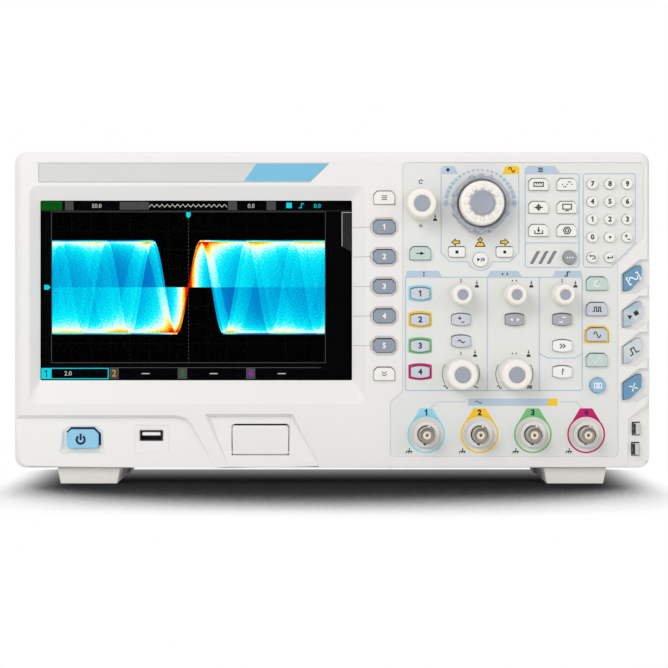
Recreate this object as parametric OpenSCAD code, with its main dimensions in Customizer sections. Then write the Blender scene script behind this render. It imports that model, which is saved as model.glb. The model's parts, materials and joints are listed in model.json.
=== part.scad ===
// Bench oscilloscope with four inputs: screen on the left, control panel on the right.
// The front faces -Y, X runs to the right and Z up. The origin is on the table, under the middle.
// Heights on the front are measured from the underside of the case, depths from the bezel's front
// plane (positive towards the viewer), and places across it from where the case's sides start to swell.

/* [Case] */
// Width of the case
body_w = 373.6; // [370:0.1:424]
// Height of the case without its feet
case_h = 185.7; // [183:0.1:220]
// Depth of the case without its knobs
body_d = 99; // [96:1:130]
// Thickness of the case walls
wall = 2.5; // [2:0.1:3]
// Radius of the case corners, seen from the front
corner_r = 6.5; // [4:0.5:8]
// Height of the feet
foot_h = 9.3; // [8.6:0.1:14]
// Chamfer round the back of the case
back_chamfer = 4; // [2:0.5:6]

/* [Front bezel] */
// Depth of the bezel's side walls
bezel_d = 22; // [21:0.5:30]
// Thickness of the bezel's front
front_wall = 4; // [3.6:0.1:5]
// Thickness of the bezel round the power button and the ports
backing_d = 9; // [8.6:0.1:11]
// Thickness of the bezel round the side keys
side_backing_d = 6; // [5.5:0.1:7]
// How far each side of the case swells past the front
side_swell = 1.8; // [1:0.1:3]
// Height of the rounded edge along the top
top_edge_h = 6.3; // [4:0.1:6.6]
// Width of the rounded edge at the left
left_edge_w = 5; // [3:0.1:5.5]
// Width of the rounded edge at the right
right_edge_w = 2.4; // [2:0.1:4.2]
// Height of the rounded edge along the bottom
low_edge_h = 0.8; // [0.4:0.1:1.2]
// How far the rounded edges run back
edge_d = 8; // [6:0.5:12]
// Radius of the front's corners inside the rounded edges
front_corner_r = 5.2; // [4:0.1:6]

/* [Screen] */
// Width of the screen opening
screen_w = 183.3; // [174:0.1:184]
// Height of the screen opening
screen_h = 105.7; // [98:0.1:106.5]
// Left edge of the opening, from the left side of the case
screen_a = 13.5; // [13:0.1:15]
// Bottom edge of the opening
screen_z = 51.3; // [50:0.1:54]
// Depth of the opening's rim behind the bezel's front
screen_sink = 5; // [3:0.1:6]
// Width of the sloped surround at the left
bevel_left = 5.5; // [4:0.1:8]
// Width of the sloped surround at the right
bevel_right = 7.8; // [5:0.1:8.5]
// Width of the sloped surround at the top
bevel_top = 8.2; // [5:0.1:9]
// Width of the sloped surround at the bottom
bevel_bottom = 13.8; // [8:0.1:15]
// Thickness of the rim in front of the window
rim_t = 1.2; // [0.8:0.1:2]
// Thickness of the clear window
window_t = 2; // [1.5:0.1:2.5]
// How far the window reaches behind the rim
window_lap = 3; // [2:0.1:4]

/* [Name strip] */
// Length of the strip along its top edge
strip_w = 169.4; // [120:0.1:175]
// Height of the strip
strip_h = 10.9; // [8:0.1:11.5]
// Thickness of the strip
strip_t = 0.8; // [0.6:0.1:1.2]

/* [Control panel] */
// Thickness of the panel plate
panel_t = 2; // [1.8:0.1:2.4]
// How far the panel lies behind the bezel's front
panel_sink = 0.5; // [0.2:0.1:0.8]
// Gap above the panel
panel_top_gap = 7; // [6.8:0.1:8]
// Gap below the panel
panel_low_gap = 7; // [6:0.1:8]
// Gap right of the upper panel
panel_right_gap = 2.7; // [2.6:0.1:3.2]
// Gap right of the lower panel, which leaves the side keys free
panel_step_gap = 17.7; // [17:0.1:18.5]
// Width of the ledge that carries the panel
ledge_w = 1.6; // [1.2:0.1:1.8]

/* [Keys] */
// Gap round each key
key_gap = 0.2; // [0.2:0.05:0.4]
// Further gap above the keys that aren't round
key_top_gap = 0.4; // [0:0.05:0.45]
// Travel of the keys
key_travel = 0.8; // [0.5:0.1:1]
// How far the keys stand out of the bezel's front
key_proud = 1.9; // [1.2:0.1:3]
// How far the softkeys stand out
softkey_proud = 1.4; // [1:0.1:3]
// Width of a softkey
softkey_w = 12.8; // [11:0.1:14]
// Height of a softkey
softkey_h = 7.9; // [7:0.1:10]
// Width of the larger keys
wide_key_w = 12.1; // [10:0.1:13]
// Height of the larger keys
wide_key_h = 7.5; // [6.5:0.1:8.6]
// Width of a menu key
menu_key_w = 11.2; // [9:0.1:12.5]
// Height of a menu key
menu_key_h = 6.7; // [6:0.1:8.6]
// Width of a bowed key
bowed_key_w = 10.9; // [9:0.1:12]
// Height of a bowed key
bowed_key_h = 7; // [6.5:0.1:8.4]
// Width of the stop and record keys
record_key_w = 9.6; // [8:0.1:11]
// Height of the stop and record keys
record_key_h = 5.9; // [5:0.1:7]
// Radius of a number key
number_key_r = 3.05; // [2.5:0.05:3.3]
// Radius of the play key
play_key_r = 4.3; // [4:0.1:4.8]
// Radius of the mode key
mode_key_r = 3.9; // [3:0.1:4.5]
// Radius of the print key
print_key_r = 4.5; // [4:0.1:5]
// Width of the power button
power_w = 18.7; // [16:0.1:19]
// Height of the power button
power_h = 10.9; // [9:0.1:11.5]

/* [Knobs] */
// How far the jog dial stands out of the bezel's front
jog_proud = 16; // [15:0.5:22]
// How far the other knobs stand out
knob_proud = 14.5; // [11:0.5:15]
// Diameter of the position and level knobs
small_knob_d = 13; // [11:0.1:14]
// Diameter of the scale knobs
large_knob_d = 18.7; // [15:0.1:20]
// Diameter of the multipurpose knob
multi_knob_d = 18; // [15:0.1:19]
// Diameter of the jog dial
jog_d = 26.6; // [24:0.1:27]
// Diameter of the shuttle ring
shuttle_d = 33; // [32.5:0.1:34.5]
// How far the shuttle ring stands out
shuttle_proud = 9; // [7:0.5:11]
// Diameter of the knob stems
stem_d = 6; // [4.5:0.1:6.5]
// Running clearance round stems and pins
run_gap = 0.06; // [0.03:0.01:0.1]

/* [Connectors] */
// Pitch of the input jacks
jack_pitch = 31.2; // [29:0.1:32]
// Outer diameter of an input jack's barrel
jack_d = 9.7; // [9.4:0.05:10]
// Bore of an input jack's barrel
jack_bore_d = 8.1; // [7.8:0.05:8.2]
// How far an input jack stands out of the bezel's front
jack_proud = 10.5; // [9:0.5:11]
// Radius of the dish round an input jack
dish_r = 10; // [9:0.1:11]
// Width of the port behind the logic cover
port_w = 33.7; // [30:0.1:35]
// Height of that port
port_h = 18.3; // [16:0.1:19]

/* [Inside] */
// Depth of the key board behind the bezel's front
board_d = 14; // [13:0.1:15]
// Thickness of the printed boards
board_t = 1.6; // [1.2:0.1:2]
// Height of a key switch
switch_h = 3.5; // [3:0.1:4]
// Thickness of the sheet metal chassis
chassis_t = 1.2; // [1:0.1:2]
// Width and height of the fan
fan_w = 60; // [50:1:65]
// Thickness of the fan
fan_t = 20; // [15:1:25]

/* [Feet] */
// Width of a foot at the case
foot_w = 37; // [34:0.1:42]
// Length of a front foot
foot_l = 46; // [40:1:55]
// Width of a tilt leg
leg_w = 24; // [18:0.1:25]
// Thickness of a tilt leg
leg_t = 5; // [4:0.1:5.5]

/* [Hidden] */
$fn = 48;

// Reach of the whole object and the planes of the case
front_reach = max(jog_proud, knob_proud);
front_y = (front_reach - body_d) / 2;
edge_x = body_w / 2;
left_x = -edge_x + side_swell;
right_x = edge_x - side_swell;
back = -body_d;
seam = -bezel_d;

// Depths of the stack of pieces behind the front, from front to back
panel_face = -panel_sink;
panel_back = panel_face - panel_t;
window_front = -screen_sink - rim_t;
window_back = window_front - window_t;
board_face = -board_d;
chassis_face = seam + 2;
chassis_back = chassis_face - chassis_t;
main_standoff = 8;
main_face = chassis_back - main_standoff;

// Clearances and small thicknesses that several pieces share
fit = 0.2;
over = 1;
skin = 0.1;
flange_gap = 0.1;
flange_t = 1.2;
flange_w = 0.8;
tail_gap = 0.2;
tail_d = 3.6;
key_tail = board_face + switch_h + key_travel + tail_gap;

// Corners of the case seen from the front
case_corners = [[-edge_x, 0], [edge_x, 0], [edge_x, case_h], [-edge_x, case_h]];

// Corners of the control panel, which steps in at the right and out at the lower left
panel_left = right_x - 143.4;
panel_foot_left = right_x - 150.8;
panel_right = right_x - panel_right_gap;
panel_step = right_x - panel_step_gap;
panel_top = case_h - panel_top_gap;
panel_corners = [
    [panel_foot_left, panel_low_gap], [panel_step, panel_low_gap], [panel_step, 120],
    [panel_right, 120 + (panel_right - panel_step) * 1.04], [panel_right, panel_top],
    [panel_left, panel_top], [panel_left, 45.3], [panel_foot_left, 38.7]
];
panel_corner_r = 2.5;

// Columns and rows of the control panel
channel_x = right_x - 133.4;
vertical_x = right_x - 109.5;
horizontal_x = right_x - 78.2;
trigger_x = right_x - 50.3;
analysis_x = right_x - 30.1;
number_x = right_x - 32.8;
menu_x = right_x - 64.3;
jog_x = right_x - 98.2;
position_z = 101.6;
scale_z = 55.2;
menu_row_z = 87;
jog_z = 154.5;

// Centres of the keys and knobs
channel_at = [for (i = [0:3]) [channel_x, 102.2 - 15.27 * i]];
number_cells = [for (i = [0:13]) [i % 3, floor(i / 3)]];
number_at = [for (c = number_cells) [number_x + 10.2 * c.x, 166.3 - 10.37 * c.y - (c.y == 4 ? 1.5 : 0)]];
menu_at = [for (i = [0:5]) [menu_x + 16.6 * (i % 2), 166 - 13.45 * floor(i / 2)]];
analysis_at = [for (i = [0:3]) [analysis_x, 108 - 14.9 * i]];
math_at = [[vertical_x, menu_row_z], [vertical_x, 74.3]];
trigger_at = [
    [horizontal_x, menu_row_z], [trigger_x, menu_row_z], [trigger_x, 71.6], [trigger_x, 56.4]
];
stop_at = [jog_x - 13.8, 126.5];
play_at = [jog_x, 122.1];
record_at = [jog_x + 14.1, 126.5];
record_set_at = [channel_x, 125.7];
mode_at = [right_x - 46, 123.3];
print_at = [analysis_x + 0.5, 48.5];
multi_at = [right_x - 133, 154.3];
jog_at = [jog_x, jog_z];
small_knobs_at = [for (x = [vertical_x, horizontal_x, trigger_x]) [x, position_z]];
large_knobs_at = [for (x = [vertical_x, horizontal_x]) [x, scale_z]];
stems_at = concat([multi_at, jog_at], small_knobs_at, large_knobs_at);
side_at = [for (i = [0:3]) [right_x - 8.7, 111.2 - 21.2 * i]];

// The softkeys stand midway between the screen's surround and the panel
screen_left = left_x + screen_a;
screen_right = screen_left + screen_w;
softkey_x = (screen_right + bevel_right + panel_left) / 2;
softkey_at = [for (i = [0:4]) [softkey_x, 141.1 - 17.35 * i]];
menu_key_at = [softkey_x, 158.2];
page_key_at = [softkey_x, 55.2];

// Places on the lower left, measured from the case's left edge
power_at = [left_x + 38.8, 17.2];
usb_at = [left_x + 79.1, 19];
port_at = [left_x + 143.1, 16.7];
jacks_at = [for (i = [0:3]) [right_x - 129.8 + jack_pitch * i, 19.9]];
terminals_at = [[right_x - 6.8, 23.2], [right_x - 7.2, 11.3]];

// Posts and screws
board_posts_at = [
    [right_x - 73.8, 142.7], [right_x - 121.5, 79.2], [right_x - 64, 78.7], [right_x - 39.8, 94.7]
];
chassis_posts_at = [
    [left_x + 65, case_h - 12], [left_x + 165, case_h - 12], [left_x + 60, 20.7],
    [(port_at.x + port_w / 2 + panel_foot_left) / 2 + 3, 20.7]
];
boss_in = 7;
case_screws_at = [
    [boss_in - edge_x, boss_in], [boss_in - edge_x, case_h - boss_in],
    [edge_x - boss_in, case_h - boss_in], [right_x - 23, boss_in]
];
post_r = 3;
screw_r = 1.5;
screw_head_r = 2.75;
screw_head_t = 2;
boss_r = 4.6;
pillar_r = 4.6;

// Direction from one point to another
function way(from, to) = (to - from) / norm(to - from);

// A vector turned by an angle
function turned(v, angle) = [
    v.x * cos(angle) - v.y * sin(angle), v.x * sin(angle) + v.y * cos(angle)
];

// Directions from corner i to the corners before and after it
function arms(pts, i) = [
    way(pts[i], pts[(i + len(pts) - 1) % len(pts)]), way(pts[i], pts[(i + 1) % len(pts)])
];

// An outline, anticlockwise, moved inwards by d, or outwards if d is negative
function inset(pts, d) = [
    for (i = [0:len(pts) - 1])
        let (a = arms(pts, i), half = acos(a[0] * a[1]) / 2)
        pts[i] - sign(cross(a[0], a[1])) * way([0, 0], a[0] + a[1]) * d / sin(half)
];

// An outline with its corners rounded to radius r
function rounded(pts, r, steps = 5) = [
    for (i = [0:len(pts) - 1])
        let (
            a = arms(pts, i),
            half = acos(a[0] * a[1]) / 2,
            middle = pts[i] + way([0, 0], a[0] + a[1]) * r / sin(half),
            start = pts[i] + a[0] * r / tan(half) - middle,
            sweep = -sign(cross(a[0], a[1])) * (180 - 2 * half)
        )
        for (k = [0:steps]) middle + turned(start, sweep * k / steps)
];

// A rectangle from its lower left corner to its upper right one
function rectangle(low, high) = [low, [high.x, low.y], high, [low.x, high.y]];

// A rectangle about the origin
function centred(w, h) = rectangle([-w / 2, -h / 2], [w / 2, h / 2]);

// A key's outline with its upper and lower corners cut
function cut_key(w, h, top, low) = [
    [-w / 2 + low, -h / 2], [w / 2 - low, -h / 2], [w / 2, -h / 2 + low], [w / 2, h / 2 - top],
    [w / 2 - top, h / 2], [-w / 2 + top, h / 2], [-w / 2, h / 2 - top], [-w / 2, -h / 2 + low]
];

// A key's outline with its upper and lower edges bowed outwards
function bowed_key(w, h, bow = 1, steps = 6) = concat(
    [for (k = [0:steps]) let (t = 2 * k / steps - 1) [t * w / 2, -h / 2 + bow * t * t]],
    [for (k = [0:steps]) let (t = 1 - 2 * k / steps) [t * w / 2, h / 2 - bow * t * t]]
);

// An outline moved to a place
function moved(pts, at) = [for (p = pts) p + at];

softkey_outline = cut_key(softkey_w, softkey_h, 2, 2);
wide_outline = cut_key(wide_key_w, wide_key_h, 2, 0.4);
menu_outline = cut_key(menu_key_w, menu_key_h, 1.8, 0.4);
bowed_outline = bowed_key(bowed_key_w, bowed_key_h);
record_outline = cut_key(record_key_w, record_key_h, 0.5, 1);
power_outline = cut_key(power_w, power_h, 2.7, 1.2);
side_outline = [[-5.8, -7.6], [-1.8, -6.7], [4.8, -0.2], [4.8, 7.4], [2, 7.3], [-5.8, 2.4]];
side_flange = centred(11.6, 8);

// Every key that goes through the control panel, with its outline, and every round one
panel_keys = concat(
    [for (p = channel_at) [p, bowed_outline]],
    [for (p = math_at) [p, bowed_outline]],
    [for (p = trigger_at) [p, bowed_outline]],
    [for (p = menu_at) [p, menu_outline]],
    [for (p = analysis_at) [p, wide_outline]],
    [[record_set_at, wide_outline], [stop_at, record_outline], [record_at, record_outline]]
);
round_keys = concat(
    [for (p = number_at) [p, number_key_r]],
    [[play_at, play_key_r], [mode_at, mode_key_r], [print_at, print_key_r]]
);
bezel_keys = concat(
    [for (p = softkey_at) [p, softkey_outline]],
    [[menu_key_at, wide_outline], [page_key_at, wide_outline]]
);

// Puts children at a place on the front, with their Z axis towards the viewer
module place(at) translate([at.x, front_y, at.y + foot_h]) rotate([90, 0, 0]) children();

// Extrudes an outline between two depths
module layer(from, to) translate([0, 0, from]) linear_extrude(to - from) children();

// A solid with an outline on the front, between two depths
module slab(pts, from, to) place([0, 0]) layer(from, to) polygon(pts);

// A round rod at a place on the front, between two depths
module rod(at, r, from, to) place(at) translate([0, 0, from]) cylinder(r = r, h = to - from);

// A rod along X at a height and depth
module cross_rod(r, from, to, height, depth)
    translate([from, front_y - depth, height + foot_h]) rotate([0, 90, 0]) cylinder(r = r, h = to - from);

// Extrudes an outline of depths and heights across the whole width
module across(pts)
    translate([-edge_x - over, 0, 0]) rotate([90, 0, 90]) linear_extrude(body_w + 2 * over)
        polygon([for (p = pts) [front_y - p.x, p.y + foot_h]]);

// Extrudes an outline of widths and depths through the whole height
module upright(pts)
    translate([0, 0, foot_h - over]) linear_extrude(case_h + 2 * over)
        polygon([for (p = pts) [p.x, front_y - p.y]]);

// The case's outline with its edges moved inwards by a share of their rounding
function edge_outline(share) = rounded(
    rectangle(
        [left_edge_w * share - edge_x, low_edge_h * share],
        [edge_x - right_edge_w * share, case_h - top_edge_h * share]
    ),
    corner_r + (front_corner_r - corner_r) * share
);

// The bezel's form: its edges curve from a crease at the front back to the sides
edge_steps = 4;
crease_turn = 25;
module bezel_form() hull() {
    for (k = [0:edge_steps])
        let (
            turn = crease_turn + (90 - crease_turn) * k / edge_steps,
            share = (1 - sin(turn)) / (1 - sin(crease_turn)),
            deep = edge_d * (1 - cos(turn) / cos(crease_turn))
        )
        slab(edge_outline(share), -deep - skin, -deep);
    slab(edge_outline(0), seam, -edge_d);
}

// The room inside the bezel, with thicker walls behind the rounded edges
module bezel_room() {
    slab(rounded(inset(case_corners, 1.5 * wall), corner_r - 1.5 * wall), -edge_d, -front_wall);
    slab(rounded(inset(case_corners, wall), corner_r - wall), seam - over, -edge_d);
}

// A cut whose floor starts at the surface at one height and sinks to a depth at a greater one, with
// walls that lean inwards
module sinking_cut(pts, low, high, deep, lean = 0) {
    fall = deep / (high - low);
    intersection() {
        if (lean > 0) hull() {
            slab(pts, 0, over);
            slab(inset(pts, lean), -deep - over, -deep);
        }
        else slab(pts, -deep - over, over);
        across([[over, low - over], [over * fall, low - over], [-deep - over * fall, high + over],
            [over, high + over]]);
    }
}

// A cut whose floor falls away towards the right edge of the case
module falling_cut(pts, from_x, shallow, deep)
    intersection() {
        slab(pts, -deep - over, over);
        upright([[from_x, -shallow], [right_x, -deep], [edge_x + over, -deep], [edge_x + over, over],
            [from_x, over]]);
    }

// Screen opening and its sloped surround
screen_low = [screen_left, screen_z];
screen_high = [screen_right, screen_z + screen_h];
surround_low = screen_low - [bevel_left, bevel_bottom];
surround_high = screen_high + [bevel_right, bevel_top];
screen_corner_r = 0.8;
surround_corner_r = 4.5;
surround_wall = 2;

module screen_cut() {
    outer = rounded(rectangle(surround_low, surround_high), surround_corner_r);
    inner = rounded(rectangle(screen_low, screen_high), screen_corner_r);
    hull() {
        slab(outer, 0, skin);
        slab(inner, -screen_sink, -screen_sink + skin);
    }
    slab(inner, window_front - over, 0);
    slab(inset(rectangle(screen_low, screen_high), -window_lap - fit), window_back - over, window_front);
}

// Outline of the recess round the power button and USB port, which runs out at the left edge
recess_lean = 2.6;
recess_out = -side_swell - recess_lean - over;
power_recess_low = 1.5;
power_recess_high = 31.1;
power_recess_deep = 4;
power_recess = moved([
    [recess_out, power_recess_low], [116.6, power_recess_low], [103.1, 25.8], [100, 29.4],
    [94, power_recess_high], [recess_out, power_recess_high]
], [left_x, 0]);
power_pocket_w = 26.2;
power_pocket_h = 16.8;
power_pocket_rim = 1.2;
power_floor = -3.6;
power_face = -1.2;

// Recess round the logic port, with its slanted sides
logic_recess_low = 1.7;
logic_recess_high = 31.8;
logic_recess_deep = 4;
logic_recess = moved([
    [-18.9, logic_recess_low], [34.1, logic_recess_low], [19, logic_recess_high], [-32.6, logic_recess_high]
], [port_at.x, 0]);
port_corner_r = 2;
cover_sink = 1.4;
cover_t = 2.2;
cover_gap = 0.3;
cover_top_gap = 0.9;
cover_pin_r = 0.8;
cover_pin_l = 1.5;
cover_axis_z = port_at.y - port_h / 2 + cover_gap + cover_t / 2;
cover_axis_d = -cover_sink - cover_t / 2;

// The port seen from the front, or its cover with a gap all round, with the upper corners rounded
module port_shape(gap) {
    low = [-port_w / 2 + gap, -port_h / 2 + gap];
    polygon(rounded(rectangle(low, -low), port_corner_r - gap));
    polygon(rectangle(low, [-low.x, 0]));
}

module power_pocket_cut() {
    place(power_at) hull() {
        layer(-power_pocket_rim, -power_pocket_rim + over) polygon(centred(power_pocket_w, power_pocket_h));
        layer(power_floor, power_floor + skin)
            polygon(inset(power_outline, -2 * key_gap - power_pocket_rim));
    }
    place(power_at) layer(-backing_d - over, 0) polygon(inset(power_outline, -key_gap));
}

// Recess round each softkey, and the groove that leads to it from the screen
softkey_surround_w = 1.3;
softkey_surround_d = 0.6;
groove_w = 0.5;
groove_d = 0.4;
groove_gap = 0.8;

// Soft crease right of the logic port, below which the surface leans back
crease_from = [port_at.x + 23.2, 32.3];
crease_to = [panel_foot_left + 0.9, 6.4];
crease_lean = 2.5;
crease_region = [
    [port_at.x + 34.6, -over], [panel_foot_left - 0.6, -over], [panel_foot_left - 0.6, 7.2],
    [port_at.x + 23.2, 32.3]
];

module crease_cut() {
    run = crease_to - crease_from;
    intersection() {
        slab(crease_region, -front_wall, over);
        place(crease_from) rotate(atan2(run.y, run.x)) rotate([crease_lean, 0, 0])
            translate([-norm(run), -norm(run), 0]) cube([3 * norm(run), norm(run), front_wall]);
    }
}

usb_w = 13.2;
usb_h = 5.8;

// Shallow field round the USB port, which follows the slope of its recess
usb_field_d = 0.3;
usb_field = moved(rectangle([-9.7, -9.9], [10.2, 6]), usb_at);
usb_field_low = power_recess_low - usb_field_d * (power_recess_high - power_recess_low) / power_recess_deep;

module port_cuts() {
    sinking_cut(power_recess, power_recess_low, power_recess_high, power_recess_deep, recess_lean);
    power_pocket_cut();
    sinking_cut(usb_field, usb_field_low, power_recess_high, power_recess_deep + usb_field_d);
    place(usb_at) layer(-backing_d - over, over) polygon(centred(usb_w + 2 * fit, usb_h + 2 * fit));
    sinking_cut(logic_recess, logic_recess_low, logic_recess_high, logic_recess_deep, recess_lean);
    place(port_at) layer(-backing_d - over, over) port_shape(0);
    cross_rod(cover_pin_r + run_gap, port_at.x - port_w / 2 - cover_pin_l - fit,
        port_at.x + port_w / 2 + cover_pin_l + fit, cover_axis_z, cover_axis_d);
}

// Stepped bays round the side keys and the recess round the probe terminals
bay_shallow = 0.8;
bay_deep = 3.2;
side_reach = edge_x - side_at[0].x + over;
bay_outline = [
    [-7.2, -9], [1.6, -9], [side_reach, -2.6], [side_reach, 10.9], [3.6, 10.9], [-7.2, 2.2]
];
terminal_w = 3.8;
terminal_h = 6.8;
terminal_gap = 0.6;
terminal_flange = 1.5;
terminal_recess = [
    [right_x - 12.1, 4.4], [edge_x + over, 4.4], [edge_x + over, 40.3], [right_x - 11.5, 29]
];
terminal_deep = 3.6;

module side_cuts() {
    for (at = side_at) {
        falling_cut(moved(bay_outline, at), at.x - 7.2, bay_shallow, bay_deep);
        place(at) layer(-side_backing_d - over, over) polygon(inset(side_outline, -key_gap));
    }
    falling_cut(terminal_recess, right_x - 12.1, bay_shallow, terminal_deep);
    for (at = terminals_at)
        place(at) layer(-side_backing_d - over, over)
            polygon(centred(terminal_w + 2 * terminal_gap, terminal_h + 2 * terminal_gap));
}

strip_low = [left_x + 13.6, case_h - 7.2 - strip_h];
strip_outline = [
    strip_low, strip_low + [strip_w - strip_h, 0], strip_low + [strip_w, strip_h], strip_low + [0, strip_h]
];
strip_proud = 0.2;
panel_outline = rounded(panel_corners, panel_corner_r);

// Parts of the bezel that are thicker than its front wall
module bezel_thick_parts() {
    inside = -front_wall + over;
    slab(inset(rectangle(surround_low, surround_high), -surround_wall), window_back, inside);
    slab(rectangle([-edge_x + wall / 2, wall / 2], [port_at.x + port_w / 2 + 6, 34.6]), -backing_d, inside);
    slab(rectangle([panel_step - ledge_w, wall / 2], [edge_x - wall / 2, side_at[0].y + 11.4]),
        -side_backing_d, inside);
    for (at = chassis_posts_at) rod(at, post_r, chassis_face, inside);
    for (at = case_screws_at) rod(at, boss_r, seam, inside);
}

module front_bezel() color([0.93, 0.925, 0.915]) difference() {
    union() {
        difference() {
            bezel_form();
            bezel_room();
        }
        intersection() {
            bezel_form();
            bezel_thick_parts();
        }
    }
    screen_cut();
    slab(inset(panel_outline, -fit), panel_back, over);
    slab(inset(panel_corners, ledge_w), -front_wall - over, 0);
    slab(inset(strip_outline, -fit), -strip_t + strip_proud, over);
    port_cuts();
    side_cuts();
    for (k = bezel_keys, lift = [0, key_top_gap])
        place(k[0] + [0, lift]) layer(-front_wall - over, over) polygon(inset(k[1], -key_gap));
    for (at = softkey_at) place(at) layer(-softkey_surround_d, over)
        polygon(inset(softkey_outline, -softkey_surround_w));
    for (at = softkey_at)
        slab(rectangle([surround_high.x + groove_gap, at.y - groove_w / 2], [at.x, at.y + groove_w / 2]),
            -groove_d, over);
    crease_cut();
    for (at = chassis_posts_at) rod(at, screw_r + run_gap, chassis_face - over, chassis_face + screw_grip);
    for (at = case_screws_at) rod(at, screw_r + run_gap, seam - over, seam + screw_grip);
}

// Collar on the panel that the shuttle ring turns on
collar_gap = 0.35;
collar_t = 0.7;
collar_in = jog_d / 2 + collar_gap;
collar_out = collar_in + collar_t;
collar_top = 5;
dish_sink = 1;
dish_floor = panel_face - dish_sink;
jack_neck_r = jack_d / 2 + 1;
jack_flange_r = dish_r - 2.6;

module control_panel() color([0.885, 0.9, 0.875]) difference() {
    union() {
        slab(panel_outline, panel_back, panel_face);
        rod(jog_at, collar_out, panel_face, collar_top);
        for (at = board_posts_at) rod(at, post_r - 0.5, board_face, panel_back);
    }
    rod(jog_at, collar_in, panel_face, collar_top + over);
    for (at = stems_at) rod(at, stem_d / 2 + over, panel_back - over, over);
    for (k = panel_keys, lift = [0, key_top_gap])
        place(k[0] + [0, lift]) layer(panel_back - over, over) polygon(inset(k[1], -key_gap));
    for (k = round_keys) rod(k[0], k[1] + key_gap, panel_back - over, over);
    for (at = jacks_at) {
        rod(at, jack_neck_r + fit, panel_back - over, over);
        place(at) translate([0, 0, dish_floor])
            cylinder(r1 = jack_flange_r + 0.6, r2 = dish_r, h = dish_sink);
    }
}

module screen_window() color([0.6, 0.65, 0.7])
    slab(inset(rectangle(screen_low, screen_high), -window_lap), window_back, window_front);

module display_module() color([0.2, 0.2, 0.22])
    slab(inset(rectangle(screen_low, screen_high), -window_lap - 2 * fit), chassis_face, window_back);

module name_strip() color([0.84, 0.84, 0.835]) slab(strip_outline, -strip_t + strip_proud, strip_proud);

// The rear cover's form, moved inwards by d, from a depth at its front to a depth at its back
module rear_form(d, front, rear) {
    lean = back_chamfer + d * sqrt(2);
    rise = lean + over;
    intersection() {
        slab(rounded(inset(case_corners, d), max(corner_r - d, 1)), rear, front);
        across([[front, -over], [front, case_h + over], [back + rise, case_h + over], [back, case_h - lean],
            [back, -over]]);
        upright([[-edge_x - over, front], [-edge_x - over, back + rise], [lean - edge_x, back],
            [edge_x - lean, back], [edge_x + over, back + rise], [edge_x + over, front]]);
    }
}

// Places on the back, still seen from the front
fan_at = [left_x + 75, 92];
inlet_at = [left_x + 45, 34];
bay_low = [right_x - 150, 42];
bay_size = [110, 34];
bay_sink = 14;
bay_floor = back + bay_sink;
aux_at = [for (i = [0:1]) bay_low + [18 + 22 * i, bay_size.y / 2]];
network_at = bay_low + [68, bay_size.y / 2];
square_usb_at = bay_low + [94, bay_size.y / 2];
inlet_w = 27.4;
inlet_h = 19.8;
network_w = 16;
network_h = 13.6;
square_usb_w = 12;
square_usb_h = 11;
screw_grip = 10;
case_screw_seat = seam - 14;
vent_w = 3;
vent_l = 50;
vent_pitch = 6.5;
vent_start = seam - 14;
vent_z = 62;
grille_pitch = 7.5;

module rear_vents() {
    for (side = [-edge_x, edge_x], i = [0:6])
        translate([side, front_y - vent_start + vent_pitch * i, vent_z + foot_h])
            cube([4 * wall, vent_w, vent_l], center = true);
    for (i = [0:13])
        translate([left_x + 60 + 19 * i, front_y + body_d - back_chamfer - 28, case_h + foot_h])
            cube([vent_w, 30, 4 * wall], center = true);
    for (i = [-3:3]) {
        half = sqrt(pow(fan_w / 2 - 3, 2) - pow(grille_pitch * i, 2));
        place(fan_at + [0, grille_pitch * i]) layer(back - over, back + wall + over)
            polygon(centred(2 * half, vent_w + 1));
    }
}

module rear_cover() color([0.88, 0.875, 0.865]) difference() {
    union() {
        difference() {
            rear_form(0, seam, back);
            rear_form(wall, seam + over, back + wall);
        }
        intersection() {
            rear_form(0, seam, back);
            for (at = case_screws_at) rod(at, pillar_r, back, seam);
        }
        slab(inset(rectangle(bay_low, bay_low + bay_size), -wall), back, bay_floor + wall);
    }
    slab(rectangle(bay_low, bay_low + bay_size), back - over, bay_floor);
    for (at = aux_at) rod(at, jack_d / 2 + fit, bay_floor - over, bay_floor + wall + over);
    place(network_at) layer(bay_floor - over, bay_floor + wall + over)
        polygon(centred(network_w + 2 * fit, network_h + 2 * fit));
    place(square_usb_at) layer(bay_floor - over, bay_floor + wall + over)
        polygon(centred(square_usb_w + 2 * fit, square_usb_h + 2 * fit));
    place(inlet_at) layer(back - over, back + wall + over)
        polygon(centred(inlet_w + 2 * fit, inlet_h + 2 * fit));
    for (at = case_screws_at) {
        rod(at, screw_r + fit, back - over, seam + over);
        rod(at, screw_head_r + 2 * fit, back - over, case_screw_seat);
    }
    rear_vents();
}

chassis_low = [left_x + 17, 12.5];
chassis_high = [right_x - 17, case_h - 7];
chassis_lip = 12;
main_low = [left_x + 114, 28];
main_high = [right_x - 24, case_h - 20];
main_post_in = 6;
main_posts_at = [
    for (x = [main_low.x + main_post_in, (main_low.x + main_high.x) / 2, main_high.x - main_post_in])
        for (z = [main_low.y + main_post_in, main_high.y - main_post_in]) [x, z]
];

module inner_chassis() color([0.72, 0.73, 0.74]) difference() {
    union() {
        slab(rectangle(chassis_low, chassis_high), chassis_back, chassis_face);
        for (z = [chassis_low.y, chassis_high.y - chassis_t])
            slab(rectangle([chassis_low.x + 20, z], [chassis_high.x - 20, z + chassis_t]),
                chassis_back - chassis_lip, chassis_face);
        for (at = main_posts_at) rod(at, post_r, main_face, chassis_back);
    }
    for (at = chassis_posts_at) rod(at, screw_r + fit, chassis_back - over, chassis_face + over);
}

// A flat box on a board, from its lower left corner, towards the back
module chip(low, size, from, t) slab(rectangle(low, low + size), from - t, from);

shield_at = [20, 20];
shield_size = [90, 60];
shield_t = 9;
chip_size = [32, 32];
chip_gap = 20;
chip_t = 3;
sink_t = 12;
memory_size = [14, 10];
memory_t = 2;
memory_pitch = 24;

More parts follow.
